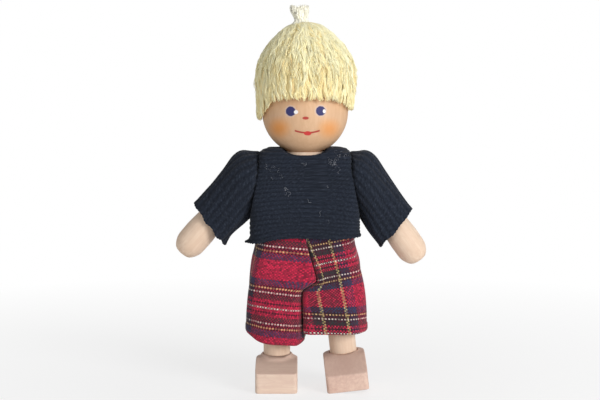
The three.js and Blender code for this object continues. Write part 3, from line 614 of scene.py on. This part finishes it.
def collar():
    seat = HEAD_RADIUS + COLLAR_GAP
    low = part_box("neck_collar")[0].z / MM
    rim = -math.degrees(math.acos(COLLAR_RADIUS / seat))
    profile = [(COLLAR_BORE, low), (COLLAR_RADIUS - CHAMFER, low), (COLLAR_RADIUS, low + CHAMFER)]
    profile += arc(seat, rim, -84, 8, HEAD_CENTRE[2]) + [(COLLAR_BORE, low)]
    return lathe("turned_collar", profile, WOOD, moved((MIDDLE, 0, 0)))


wooden = []
for side in SIDES:
    wooden += [(turned_arm(side), f"{side}_arm", f"{side}_upper_limb", "wood"),
               (dowel_leg(side), f"{side}_leg", f"{side}_lower_limb", "wood"),
               (block_foot(side), f"{side}_foot", f"{side}_lower_limb", "wood")]
wooden += [(ball_head(), "head_ball", "head", "face_wood"), (collar(), "neck_collar", "neck", "wood")]
for piece, node, body, slot in wooden:
    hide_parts(node)
    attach(piece, body)


# Sweater

ARMHOLE = 5.6
ARMHOLE_FLARE = 2.9
SLEEVE_ROOT = -1.4
SLEEVE_SEAT_GAP = 0.05
NECKLINE = 59.6
NECKLINE_HALF_WIDTH = 6.6
NECKLINE_RISE = 2.2
NAPE_RISE = 4.0
CLOTH_SOFTNESS = 0.15
HEM_RISE_AHEAD = 1.0
HEM_RISE_LEFT = 1.3
HEM_DROP_RIGHT = 0.4
HEM_CURL = 1.1
HEM_WAVE = 0.15
HEM_WAVE_PITCH = 1.1
ROLLED_EDGE = 0.3
RIB_SAG = 1.3
RIB_SAG_HALF_WIDTH = 14.5
SWEATER_UNEVENNESS = 0.22
# Outline of the sweater from hem to neck
SWEATER_Z = [38, 43.2, 50, 57, 59.6, 61.0, 61.75, 61.45]
SWEATER_HALF_WIDTH = [14.1, 14.1, 14.0, 12.0, 11.8, 11.2, 9.2, 6.4]
SWEATER_HALF_DEPTH = [8.5, 8.4, 7.7, 7.3, 7.0, 6.7, 6.3, 6.1]
SWEATER_SQUARENESS = [4.4, 5.2, 8.0, 9.0, 7.0, 4.0, 2.6, 2.2]
SWEATER_LAST_STEP = 0.28
SWEATER_SEED = 3


def knit_relief(across, along, pitch):
    """Ribs of knitting, each one zigzagged by its stitches."""
    lean = np.abs((across / STITCH_PITCH) % 1 - 0.5)
    return RIB_RELIEF * np.cos(FULL_TURN * (along / pitch + 0.25 * lean))


def wander(u, v, seed, size):
    """Slow unevenness of soft cloth."""
    gen = np.random.default_rng(seed)
    total = np.zeros_like(u)
    for order in range(5):
        du, dv = gen.normal(size=2) / size
        total += np.sin(du * u + dv * v + gen.uniform(0, FULL_TURN))
    return total / 5


def sweater_body():
    columns, rows = 300, 230
    run = run_length(SWEATER_Z, SWEATER_HALF_WIDTH)
    s = np.linspace(0, run[-1], rows)[:, None]
    angle = round_angles(columns)[None, :]
    z = hermite(run, SWEATER_Z, s)
    square = hermite(run, SWEATER_SQUARENESS, s)
    x = hermite(run, SWEATER_HALF_WIDTH, s) * squared_off(np.cos(angle), square)
    y = hermite(run, SWEATER_HALF_DEPTH, s) * squared_off(np.sin(angle), square)
    ahead = smoothstep(1, 8, -y) * smoothstep(13, 4, np.abs(x))
    sides = HEM_RISE_LEFT * smoothstep(6, 14, x) - HEM_DROP_RIGHT * smoothstep(8, 14, -x)
    z = z + smoothstep(6, 0, s) * (HEM_RISE_AHEAD * ahead + sides)
    scoop = NECKLINE + NECKLINE_RISE * np.abs(x / NECKLINE_HALF_WIDTH) ** 3
    scoop += NAPE_RISE * smoothstep(-3.5, 0.5, y)
    z = soft_limit(scoop, z, CLOTH_SOFTNESS)
    grid = np.stack([x, y, z], -1)
    u = np.cumsum(steps_round(grid), 1)
    sag = RIB_SAG * np.cos(np.clip(x / RIB_SAG_HALF_WIDTH, -1, 1) * math.pi / 2)
    v = s - sag * smoothstep(run[-3], 8, s)
    uneven = SWEATER_UNEVENNESS * wander(u, v, SWEATER_SEED, 5.0) * smoothstep(0, 4, run[-1] - s)
    edge = HEM_WAVE * np.sin(FULL_TURN * u / HEM_WAVE_PITCH) * smoothstep(0.9, 0, s)
    relief = knit_relief(u, v, RIB_PITCH) * smoothstep(0, 0.5, s) * smoothstep(run[-1], run[-1] - 1, s)
    roll = ROLLED_EDGE * (smoothstep(1.0, 0.2, s) + smoothstep(run[-1] - 1.6, run[-1] - 0.6, s))
    normal = outward_normals(grid, 0)
    outer = grid + normal * (uneven + relief + roll)[..., None]
    outer[..., 2] += edge
    curl = np.exp(-(s / 0.8) ** 2) * np.exp(-((y + 2.5) / 1.6) ** 2) * (x < 0)
    outer[..., 0] -= HEM_CURL * curl
    inner = grid + normal * (uneven - KNIT_THICKNESS)[..., None]

    def tuck(points, depth_in):
        """The body's side follows the cone that the sleeve turns in."""
        off = np.hypot(points[..., 1], points[..., 2] - SHOULDER_UP)
        limit = SHOULDER_OUT + SLEEVE_ROOT + np.maximum(off - ARMHOLE, 0) / ARMHOLE_FLARE - depth_in
        out = np.abs(points[..., 0])
        near = np.where(out > limit - 1.5, soft_limit(limit, out, CLOTH_SOFTNESS), out)
        points[..., 0] = np.sign(points[..., 0]) * np.minimum(out, near)
        return points

    grid = two_skins(tuck(outer, SLEEVE_SEAT_GAP), tuck(inner, SLEEVE_SEAT_GAP + KNIT_THICKNESS), 3)
    u, v = two_skins_uv(u, v, SWEATER_LAST_STEP, 3)
    faces, uv = tube_faces(len(grid), columns, True), tube_uv(u, v)
    flat = grid.reshape(-1, 3)
    out, back, up = np.abs(flat[faces].mean(1) - (0, 0, SHOULDER_UP)).T
    keep = (np.hypot(back, up) >= ARMHOLE - 0.4) | (out <= 9.5)
    flat[:, 0] += MIDDLE
    return new_object("sweater_body", flat, faces[keep], BODY_KNIT, uv[keep])


SLEEVE_ROOT_RADIUS = 5.0
SHOULDER_CORNER = {"left": (3.2, 5.1), "right": (4.2, 5.15)}
ARMPIT = (0.6, -10.8)
CUFF_TOP = (14.9, -8.7)
CUFF_LOW = (6.7, -19.35)
SLEEVE_HANG = {"left": math.radians(2.3), "right": math.radians(-2.3)}
SLEEVE_DEPTH = [4.4, 5.5, 6.8, 7.5, 7.6, 7.3, 6.6, 5.8, 5.2]
SLEEVE_FOLD = 0.35
SLEEVE_UNEVENNESS = 0.3
CUFF_ROLL = 0.15
SLEEVE_SEED = {"left": 11, "right": 12}


def sleeve_lines(side):
    """Upper and lower lines of a sleeve, armhole to cuff, as distances out and up from the shoulder."""
    turn = SLEEVE_HANG[side]
    hung = np.array([[math.cos(turn), -math.sin(turn)], [math.sin(turn), math.cos(turn)]])

    def line(up, bend, cuff, to_bend, to_cuff):
        inside = np.array([SLEEVE_ROOT - 0.9, up * 0.9 * SLEEVE_ROOT_RADIUS])
        root = np.array([SLEEVE_ROOT, up * SLEEVE_ROOT_RADIUS])
        bend, cuff = np.array(bend), np.array(cuff) @ hung
        points = [inside, root] + [root + (bend - root) * t for t in to_bend]
        return np.array(points + [bend + (cuff - bend) * t for t in to_cuff])

    return (line(1, SHOULDER_CORNER[side], CUFF_TOP, (0.11, 0.32, 0.78), (0.08, 0.35, 0.67, 1.0)),
            line(-1, ARMPIT, CUFF_LOW, (0.2, 0.5, 1.0), (0.25, 0.5, 0.75, 1.0)))


def sleeve(side):
    columns, rows = 216, 170
    upper, lower = sleeve_lines(side)
    run = run_length(*(upper + lower).T / 2)
    s = np.linspace(0, run[-1], rows)

    def drawn(points):
        return np.stack([hermite(run, values, s) for values in points.T], -1)[:, None, :]

    high, low = drawn(upper), drawn(lower)
    half_depth = hermite(run, SLEEVE_DEPTH, s)[:, None]
    angle = round_angles(columns)[None, :]
    centre, arm = (high + low) / 2, (high - low) / 2
    flat = centre + arm * np.cos(angle)[..., None]
    grid = np.stack([flat[..., 0], -half_depth * np.sin(angle), flat[..., 1]], -1)
    u = np.cumsum(steps_round(grid), 1)
    u = u / u[:, -1:] * SLEEVE_RIBS * SLEEVE_RIB
    v = s[:, None] + 0 * angle
    loose = smoothstep(2.5, 7, s)[:, None]
    seed = SLEEVE_SEED[side]
    fold = SLEEVE_FOLD * np.cos(4 * angle + 0.25 * v + seed)
    fold = loose * (fold + SLEEVE_UNEVENNESS * wander(u, v, seed, 4.0))
    edge = smoothstep(run[-1] - 1.0, run[-1], s)[:, None]
    relief = 1.4 * knit_relief(v, u, SLEEVE_RIB) * smoothstep(0.6, 1.6, s)[:, None] * (1 - 0.7 * edge)
    normal = outward_normals(grid, np.insert(centre, 1, 0, axis=-1))
    outer = grid + normal * (fold + relief + CUFF_ROLL * edge)[..., None]
    ragged = edge * (0.06 * np.sin(FULL_TURN * u / 0.9) + 0.5 * wander(u, 0 * v, seed + 5, 0.8))
    outer[..., 2] -= 0.8 * ragged
    outer[..., 0] += 0.6 * ragged
    inner = outer - normal * KNIT_THICKNESS * (1 - 0.3 * edge)[..., None]
    grid = two_skins(outer, inner, 3)
    u, v = two_skins_uv(u, v, SLEEVE_RIB * SLEEVE_RIBS / columns, 3)
    grid[..., 0] *= SIDES[side]
    return cloth(f"{side}_knit_sleeve", grid + SHOULDER[side], u, v, SLEEVE_KNIT, flip=SIDES[side] > 0)


sweater = sweater_body()
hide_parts("sweater_front", "sweater_back")
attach(sweater, "torso")
for side, sign in SIDES.items():
    piece = sleeve(side)
    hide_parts(f"{side}_sleeve")
    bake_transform(piece)


# Shorts

SHORTS_TOP = 41.0
SHORTS_WAIST = 12.4
CROTCH = 27.2
CLOTH_THICKNESS = 0.45
SEAM_GAP = 0.08
HEM = {"left": 14.4, "right": 13.5}
HEM_OUTER = {"left": 15.8, "right": 15.1}
HEM_TILT = {"left": 0.1, "right": 2.1}
HEM_LOW_SIDE = math.radians(235)
FOLD_TIP = 28.2
FOLD_REACH = 1.6
FOLD_REACH_AHEAD = 1.7
TURNED_HEM = 0.16
SHORTS_FOLD = 0.28
SHORTS_UNEVENNESS = 0.3
WARP_SLANT = 0.155
WEFT_SLANT = {"left": (-0.03, 0.17), "right": (0.09, 0.1)}
WEFT_CROWDING = {"left": 1.06, "right": 1.0}
SHORTS_SEED = {"left": 21, "right": 22}
# From hem to waist: how much of the widening is left, the half depth and the inner side's squareness
SHORTS_WIDENING = [1.0, 0.94, 0.8, 0.55, 0.14, 0.0]
SHORTS_HALF_DEPTH = [7.2, 7.4, 7.5, 7.4, 7.1, 7.1]
SHORTS_INNER_SQUARENESS = [4.0, 6.0, 9.0, 16, 18, 18]
SHORTS_OUTER_SQUARENESS = 2.6


def shorts_leg(side, material):
    columns, rows = 260, 150
    hem = HEM[side]
    z_at = [hem, (hem + CROTCH) / 2, CROTCH, 32.0, 37.2, SHORTS_TOP]
    z = np.linspace(hem, SHORTS_TOP, rows)[:, None]
    angle = (round_angles(columns) + math.pi / columns)[None, :]
    c, d = np.cos(angle), np.sin(angle)
    outer_x = SHORTS_WAIST + (HEM_OUTER[side] - SHORTS_WAIST) * hermite(z_at, SHORTS_WIDENING, z)
    power = np.where(c < 0, hermite(z_at, SHORTS_INNER_SQUARENESS, z), SHORTS_OUTER_SQUARENESS)
    middle = (outer_x + SEAM_GAP) / 2
    x = middle + (outer_x - SEAM_GAP) / 2 * squared_off(c, power)
    y = hermite(z_at, SHORTS_HALF_DEPTH, z) * squared_off(d, power)
    zz = z - HEM_TILT[side] * smoothstep(hem + 9, hem, z) * np.cos(angle - HEM_LOW_SIDE)
    grid = np.stack([x, y, zz], -1)
    step = steps_round(grid)
    u = np.cumsum(step, 1) - step
    front = int(0.75 * columns)
    u = u - u[:, front:front + 1]
    v = z - hem
    level = zz - hem
    seed = SHORTS_SEED[side]
    free = smoothstep(SHORTS_TOP - 2, SHORTS_TOP - 9, z) * smoothstep(0.4, 3.5, x)
    fold = SHORTS_FOLD * np.cos(5 * angle + z / 4 + seed)
    fold = free * (fold + SHORTS_UNEVENNESS * wander(u, v, seed, 4.5))
    turned = TURNED_HEM * smoothstep(2.2, 1.9, v) * smoothstep(0.0, 0.5, v)
    normal = outward_normals(grid, np.stack([middle + 0 * angle, 0 * y, zz], -1))
    outer = grid + normal * (fold + turned)[..., None]
    inner = outer - normal * CLOTH_THICKNESS
    outer[..., 0] = np.maximum(outer[..., 0], 0.5 * SEAM_GAP)
    for layer in (outer, inner):
        out, ahead, up = layer[..., 0], -layer[..., 1], layer[..., 2]
        near = np.exp(-(out / 4.0) ** 2)
        split = smoothstep(31, 23, up) * (0.5 * smoothstep(0, 5, -ahead) - 0.9 * smoothstep(1, 6, ahead))
        across = FOLD_REACH + FOLD_REACH_AHEAD * smoothstep(3.0, 6.5, ahead)
        fallen = np.clip((SHORTS_TOP - up) / (SHORTS_TOP - FOLD_TIP), 0, 1)
        flap = fallen**1.3 * smoothstep(FOLD_TIP - 3.2, FOLD_TIP, up)
        layer[..., 0] += SIDES[side] * near * (across * flap + split)
    grid = two_skins(outer, inner, 2)
    u, v = two_skins_uv(u, level, step[:, -1:], 2)
    low_slant, high_slant = WEFT_SLANT[side]
    slant = low_slant + (high_slant - low_slant) * smoothstep(5.5, 13, v)
    warp = SIDES[side] * (u + WARP_SLANT * v)
    weft = v * WEFT_CROWDING[side] - u * slant
    grid[..., 0] = MIDDLE + SIDES[side] * grid[..., 0]
    return cloth(f"{side}_tartan_leg", grid, warp, weft, material, flip=SIDES[side] < 0)


TARTAN = {"left": tartan("left_tartan", warp_from=-3.1, weft_from=0.1, weft_share=0.0),
          "right": tartan("right_tartan", warp_from=-17.0, weft_from=7.4, weft_share=0.1)}
for side in SIDES:
    piece = shorts_leg(side, TARTAN[side])
    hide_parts(f"{side}_shorts_leg")
    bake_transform(piece)


# Hair

# Radius and height of the wig's outline, from the crown down
HAIR_PROFILE = [(0.0, 22.8), (1.5, 22.65), (2.6, 22.3), (4.0, 21.6), (6.3, 19.9), (8.3, 17.9), (10.0, 15.9),
                (11.3, 13.5), (12.1, 11.1), (12.4, 8.6), (12.45, 5.5), (12.2, 2.5), (11.9, -0.5),
                (11.6, -3.4)]
CROWN = -0.9
FRINGE_CUT = 3.25
SIDE_CUT = -0.35
GOLDEN = 0.618034
STRAND_POINTS = 36


def hair_surface(s):
    """Radius and height of the hair's outline, at a share of the way down it."""
    outline = np.transpose(HAIR_PROFILE)
    run = run_length(*outline)
    return [hermite(run, values, s * run[-1]) for values in outline]


def hair_share(height):
    """How far down the hair's outline a height lies, from 0 at the crown to 1."""
    share = np.linspace(0, 1, 200)
    return np.interp(-height, -hair_surface(share)[1], share)


def hair_shift(s, height):
    """The wig is fuller on the doll's left, and its crown sits a little to the right."""
    full = 0.2 - 0.15 * smoothstep(14, 21, height)
    return full + (CROWN - full) * smoothstep(0.12, 0.0, s)


def cut_height(azimuth):
    """Lower edge of the hair: level over the face, then sloping lower toward the doll's right side."""
    ahead = -np.sin(azimuth)
    left = np.cos(azimuth)
    fringe = FRINGE_CUT - 0.35 * left
    sides = SIDE_CUT + 1.2 * left
    return fringe + (sides - fringe) * smoothstep(0.88, 0.3, ahead)


def strand_tubes(paths, radii, shades, name, material, sides=5, origin=HEAD_CENTRE):
    """Thin tapering tubes along many paths, as one mesh with a shade for each strand."""
    count, points = paths.shape[:2]
    along = unit(np.gradient(paths, axis=1))
    across = unit(np.cross(along, paths * (1, 1, 0.35)))
    lift = np.cross(across, along)
    angle = round_angles(sides)[:, None]
    ring = np.cos(angle) * across[:, :, None, :] + np.sin(angle) * lift[:, :, None, :]
    grid = paths[:, :, None, :] + ring * radii[:, :, None, None]
    offsets = np.arange(count)[:, None, None] * points * sides
    faces = (tube_faces(points, sides)[None] + offsets).reshape(-1, 4)
    caps = np.stack([np.arange(sides)[::-1], (points - 1) * sides + np.arange(sides)])
    piece = new_object(name, grid, faces, material, at=moved(origin))
    made = bmesh.new()
    made.from_mesh(piece.data)
    made.verts.ensure_lookup_table()
    for cap in (caps[None] + offsets).reshape(-1, sides).tolist():
        made.faces.new([made.verts[i] for i in cap]).smooth = False
    made.to_mesh(piece.data)
    made.free()
    set_attribute(piece, "strand", np.repeat(shades, points * sides))
    return piece


def hair_layer(locks, strands, half_width, lifts, end_heights, flick, starts=(0.0, 0.08),
               thickness=(0.1, 0.16)):
    """Paths, radii and shades of crimped locks that start near the crown and end at given heights; the
    shades are partly painted shade, darker for strands that lie deeper.
    """
    count = locks * strands

    def each(values):
        return np.repeat(values, strands)[:, None]

    middle = each(np.arange(locks) * GOLDEN % 1 * FULL_TURN)
    off = rng.uniform(-1, 1, (count, 1))
    lift = each(rng.uniform(*lifts, locks)) + 0.22 * (1 - off**2) - 0.12 + rng.normal(0, 0.05, (count, 1))
    phase = each(rng.uniform(0, FULL_TURN, locks))
    slow_phase = each(rng.uniform(0, FULL_TURN, locks))
    waves = FULL_TURN * each(rng.uniform(6, 12, locks))
    own = rng.uniform(0, FULL_TURN, (count, 1))
    t = np.linspace(0, 1, STRAND_POINTS)[None, :]
    if end_heights is None:
        ends = cut_height(middle + off * half_width) + rng.normal(0, 0.25, (count, 1))
        ends += each(rng.normal(0, 0.2, locks))
    else:
        ends = each(rng.uniform(*end_heights, locks)) + rng.normal(0, 0.35, (count, 1)) + 0.8 * off**2
    end = hair_share(ends)
    start = each(rng.uniform(*starts, locks))
    s = start + (end - start) * t
    radius, height = hair_surface(s)
    settled = smoothstep(0.0, 0.16, s - 0.5 * start)
    crimp = np.sin(waves * s + phase + 0.4 * np.sin(own))
    slow = np.sin(FULL_TURN * 2.4 * s + slow_phase)
    sway = settled * (0.2 * crimp + 0.6 * slow + 0.12 * np.sin(30 * s + own)) / np.maximum(radius, 2.5)
    azimuth = middle + off * half_width * (1 - 0.45 * t**2) + sway
    wave = 0.09 * np.cos(waves * s + phase)
    stand = (lift + wave) * settled + flick * smoothstep(0.7, 1, t) * each(rng.uniform(0.3, 1.0, locks))
    radius = radius + stand - 0.15 - 0.5 * smoothstep(7, 0, height) * np.minimum(np.cos(azimuth), 0)
    across = radius * np.cos(azimuth) + hair_shift(s, height)
    height += 0.5 * stand * smoothstep(7, 11, height)
    paths = np.stack([across, radius * np.sin(azimuth), height], -1)
    radii = rng.uniform(*thickness, (count, 1)) * (1 - 0.45 * t**3)
    # Painted shade: strands with less lift, lying deeper in the hair, get a darker colour; locks and
    # strands also vary at random.
    shades = 0.5 + 0.9 * lift[:, 0] + each(rng.normal(0, 0.16, locks))[:, 0] + rng.normal(0, 0.12, count)
    return paths, radii, np.clip(shades, 0, 1)


def hair_locks():
    """A full layer down to the cut edge, and shaggier locks over it that end higher and stand off."""
    full = hair_layer(170, 10, half_width=0.05, lifts=(-0.12, 0.14), end_heights=None, flick=0.1)
    shaggy = hair_layer(60, 9, half_width=0.07, lifts=(0.1, 0.35), end_heights=(4.5, 9.0), flick=0.3)
    short = hair_layer(70, 9, half_width=0.08, lifts=(0.2, 0.45), end_heights=(8.5, 13.5), flick=0.3)
    paths, radii, shades = (np.concatenate(parts) for parts in zip(full, shaggy, short))
    return strand_tubes(paths, radii, shades, "hair_locks", HAIR, sides=4)


def hair_under():
    """Dense yarn under the loose strands, cut to the same edge, and painted darker as shade in the gaps
    between the locks.
    """
    columns, rows = 180, 50
    azimuth = round_angles(columns)[None, :]
    end = hair_share(cut_height(azimuth) + 1.3)
    s = 0.004 + (end - 0.004) * np.linspace(0, 1, rows)[:, None]
    radius, height = hair_surface(s)
    reach = radius - 0.5 + 0.1 * np.sin(70 * azimuth + 3 * np.sin(40 * s))
    across = reach * np.cos(azimuth) + hair_shift(s, height)
    outer = np.stack([across, reach * np.sin(azimuth), height - 0.4], -1)
    away = np.linalg.norm(outer, axis=-1, keepdims=True)
    skull = outer / away * np.minimum(HEAD_RADIUS + 0.12, away - 0.05)
    grid = np.concatenate([outer, skull[::-1]])
    faces = tube_faces(len(grid), columns, True)[:, ::-1]
    piece = new_object("hair_under", grid, faces, HAIR, at=moved(HEAD_CENTRE))
    # Painted shade: the under layer takes a darker shade than most strands, for the gaps between locks.
    set_attribute(piece, "strand", np.tile(0.42 + 0.12 * np.sin(53 * azimuth[0]), len(grid)))
    return piece


TUFT_FOOT = 22.0
TUFT_LENGTH = 4.7
TUFT_RADIUS = 1.4
TUFT_FLARE = 0.85
TUFT_SKIRT = 1.3
TUFT_LEAN = -0.13


def tuft_points(t, around, share, long):
    """Places in the tuft: t along it, around it, the share of its radius and the length there."""
    skirt = TUFT_SKIRT * np.clip(1 - t / 0.35, 0, 1) ** 2
    reach = share * (TUFT_RADIUS + TUFT_FLARE * smoothstep(0.2, 1, t) + skirt)
    curl = 0.15 * np.sin(7 * t + around * 3) * t
    return np.stack([reach * np.cos(around) + CROWN + TUFT_LEAN * long * t**1.5 + curl,
                     reach * np.sin(around) + curl, TUFT_FOOT + long * t], -1)


def tuft():
    """The gathered ends above the tie, brushed up and toward the doll's right."""
    count = 260
    t = np.linspace(0, 1, 12)[None, :]
    around = rng.uniform(0, FULL_TURN, (count, 1))
    share = rng.uniform(0.92, 1.06, (count, 1))
    long = TUFT_LENGTH * rng.uniform(0.75, 1.1, (count, 1))
    radii = rng.uniform(0.8, 1.2, (count, 1)) * 0.15 * (1 - 0.75 * t**3)
    shades = np.clip(rng.normal(0.8, 0.12, count), 0, 1)
    return strand_tubes(tuft_points(t, around, share, long), radii, shades, "hair_tuft_strands", TUFT_YARN)


def tuft_core():
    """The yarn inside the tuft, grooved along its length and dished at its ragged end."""
    columns, rows = 90, 20
    around = round_angles(columns)[None, :]
    long = 0.97 * TUFT_LENGTH * (1 + 0.07 * np.sin(5 * around + 1) + 0.05 * np.sin(17 * around))
    t = np.linspace(0, 1, rows)[:, None]
    share = 0.97 + 0.05 * np.sin(19 * around + 2 * np.sin(5 * t))
    side = tuft_points(t, around, share, long)
    foot = [tuft_points(0.0, around, k * share[:1], long) for k in (0.01, 0.5)]
    end = [tuft_points(1 - 0.12 * (1 - k), around, k * share[-1:], long) for k in (0.8, 0.5, 0.2, 0.01)]
    grid = np.concatenate([*foot, side, *end])
    faces = tube_faces(len(grid), columns)[:, ::-1]
    piece = new_object("hair_tuft_core", grid, faces, TUFT_YARN, at=moved(HEAD_CENTRE))
    set_attribute(piece, "strand", np.full(len(piece.data.vertices), 0.75))
    return piece


TIE_RADIUS = 1.3
TIE_FOOT = 22.9
TIE_RISE = 0.5
TIE_TURNS = 2.6
TIE_THREAD_RADIUS = 0.16


def tie():
    t = np.linspace(0, 1, 120)[None, :]
    angle = FULL_TURN * TIE_TURNS * t
    across = TIE_RADIUS * np.cos(angle) + CROWN
    paths = np.stack([across, TIE_RADIUS * np.sin(angle), TIE_FOOT + TIE_RISE * t], -1)
    radii = np.full(t.shape, TIE_THREAD_RADIUS)
    return strand_tubes(paths, radii, np.array([0.7]), "hair_tie_thread", TUFT_YARN, sides=8)


for piece, nodes in ((hair_locks(), ["hair_cap"]), (hair_under(), []), (tuft(), ["hair_tuft"]),
                     (tuft_core(), []), (tie(), ["hair_tie"])):
    if nodes:
        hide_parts(*nodes)
    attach(piece, "head")


# Stray fibres

LINT = yarn("lint", rgb(150, 154, 162), rgb(116, 120, 130), rgb(84, 88, 98))
# Across and up from the floor under the doll's middle, how far they spread, and how many
LINT_PLACES = [(6.9, 58.9, 0.5, 7), (7.5, 57.2, 0.6, 9), (8.6, 59.6, 0.5, 4), (0.4, 58.2, 0.3, 2),
               (-8.0, 56.0, 1.6, 7), (-5.0, 50.8, 0.6, 4), (2.0, 48.0, 3.0, 4)]
LINT_POINTS = 18
LINT_RADIUS = 0.035


def loose_fibres(garment):
    """Fine fibres caught on the front of the knit, most of them by the left side of the neck."""
    skin = np.array([vertex.co[:] for vertex in garment.data.vertices]) / MM
    skin = skin[skin[:, 1] < -4.5]
    t = np.linspace(0, 1, LINT_POINTS)
    paths = []
    for x, z, spread, count in LINT_PLACES:
        for fibre in range(count):
            heading = rng.uniform(0, FULL_TURN)
            bend = rng.normal(0, 1.6)
            angle = heading + bend * t + 1.3 * np.sin(FULL_TURN * rng.uniform(0.6, 1.6) * t)
            step = rng.uniform(0.8, 2.6) / LINT_POINTS
            across = MIDDLE + x + rng.normal(0, spread) + step * np.cumsum(np.cos(angle))
            up = z + rng.normal(0, spread) + step * np.cumsum(np.sin(angle))
            away = (skin[:, 0, None] - across)**2 + (skin[:, 2, None] - up)**2
            front = skin[np.argmin(away, 0), 1] - 0.04 - 0.12 * np.sin(math.pi * t)
            paths.append(np.stack([across, front, up], -1))
    radii = np.full((len(paths), LINT_POINTS), LINT_RADIUS)
    shades = rng.uniform(0.2, 0.9, len(paths))
    return strand_tubes(np.array(paths), radii, shades, "loose_fibres", LINT, sides=4, origin=(0, 0, 0))


fibres = loose_fibres(sweater)
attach(fibres, "torso")
loose = hair_layer(80, 3, half_width=0.12, lifts=(0.25, 0.6), end_heights=(4.5, 11.0), flick=0.5,
                   starts=(0.2, 0.45), thickness=(0.05, 0.08))
wisps = strand_tubes(*loose, "hair_wisps", HAIR, sides=3)
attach(wisps, "head")


# Carried-over solids that stay

for name, obj in frame["nodes"].items():
    obj.data.materials.clear()
    obj.data.materials.append(ELASTIC if "elastic" in name else WOOD)


# Stage, light and camera

# The floor is white to the camera, but less so near the doll, where its shadow falls
SHADOW_REACH = (40.0, 220.0)
WHITE_SHARE = (0.7, 1.0)


def pale_stage():
    look = Look("pale_stage", roughness=0.9, specular=0.1)
    look.base = rgb(250, 250, 250)
    seen = look.node("ShaderNodeLightPath")
    glow = look.node("ShaderNodeEmission")
    away = look.node("ShaderNodeVectorMath", {0: look.place()}, operation="LENGTH").outputs["Value"]
    white = look.remap(away, *SHADOW_REACH, *WHITE_SHARE)
    share = look.times(seen.outputs["Is Camera Ray"], white)
    mixed = look.node("ShaderNodeMixShader", {0: share, 1: look.shader.outputs[0], 2: glow.outputs[0]})
    look.put(look.tree.nodes["Material Output"].inputs[0], mixed.outputs[0])
    return look.done()


FLOOR_HALF = 900.0
floor_corners = [(x * FLOOR_HALF, y * FLOOR_HALF, 0) for x, y in ((-1, -1), (1, -1), (1, 1), (-1, 1))]
floor = new_object("floor", floor_corners, [(0, 1, 2, 3)], pale_stage())


def aimed(data, place, aim):
    """A lamp or camera at a place, turned to look at another."""
    holder = bpy.data.objects.new(data.name, data)
    holder.location = Vector(place) * MM
    holder.rotation_euler = (Vector(aim) - Vector(place)).to_track_quat("-Z", "Y").to_euler()
    bpy.context.scene.collection.objects.link(holder)
    return holder


def softbox(name, place, aim, size, power):
    lamp = bpy.data.lights.new(name, "AREA")
    lamp.size = size * MM
    lamp.energy = power
    aimed(lamp, place, aim)


softbox("key", place=(330, -360, 190), aim=(0, 0, 50), size=240, power=1.75)
softbox("fill", place=(-260, -420, 110), aim=(0, 0, 50), size=300, power=0.42)
softbox("back", place=(60, 320, 320), aim=(0, 0, 60), size=260, power=0.35)
WORLD_LIGHT = 0.3
world = bpy.data.worlds.new("studio")
world.use_nodes = True
tree = world.node_tree
backdrop = tree.nodes["Background"]
backdrop.inputs["Color"].default_value = (1, 1, 1, 1)
seen = tree.nodes.new("ShaderNodeLightPath")
strength = tree.nodes.new("ShaderNodeMapRange")
strength.inputs["To Min"].default_value = WORLD_LIGHT
tree.links.new(seen.outputs["Is Camera Ray"], strength.inputs[0])
tree.links.new(strength.outputs[0], backdrop.inputs["Strength"])
bpy.context.scene.world = world

CAMERA_PLACE = (MIDDLE - 1.3, -330.0, 72.0)
CAMERA_AIM = (MIDDLE - 1.3, 0.0, 48.2)
FOCAL_LENGTH = 77.1
lens = bpy.data.cameras.new("camera")
lens.lens = FOCAL_LENGTH
lens.clip_start = 0.01
bpy.context.scene.camera = aimed(lens, CAMERA_PLACE, CAMERA_AIM)
bpy.context.scene.view_settings.view_transform = "Standard"

bpy.context.view_layer.update()
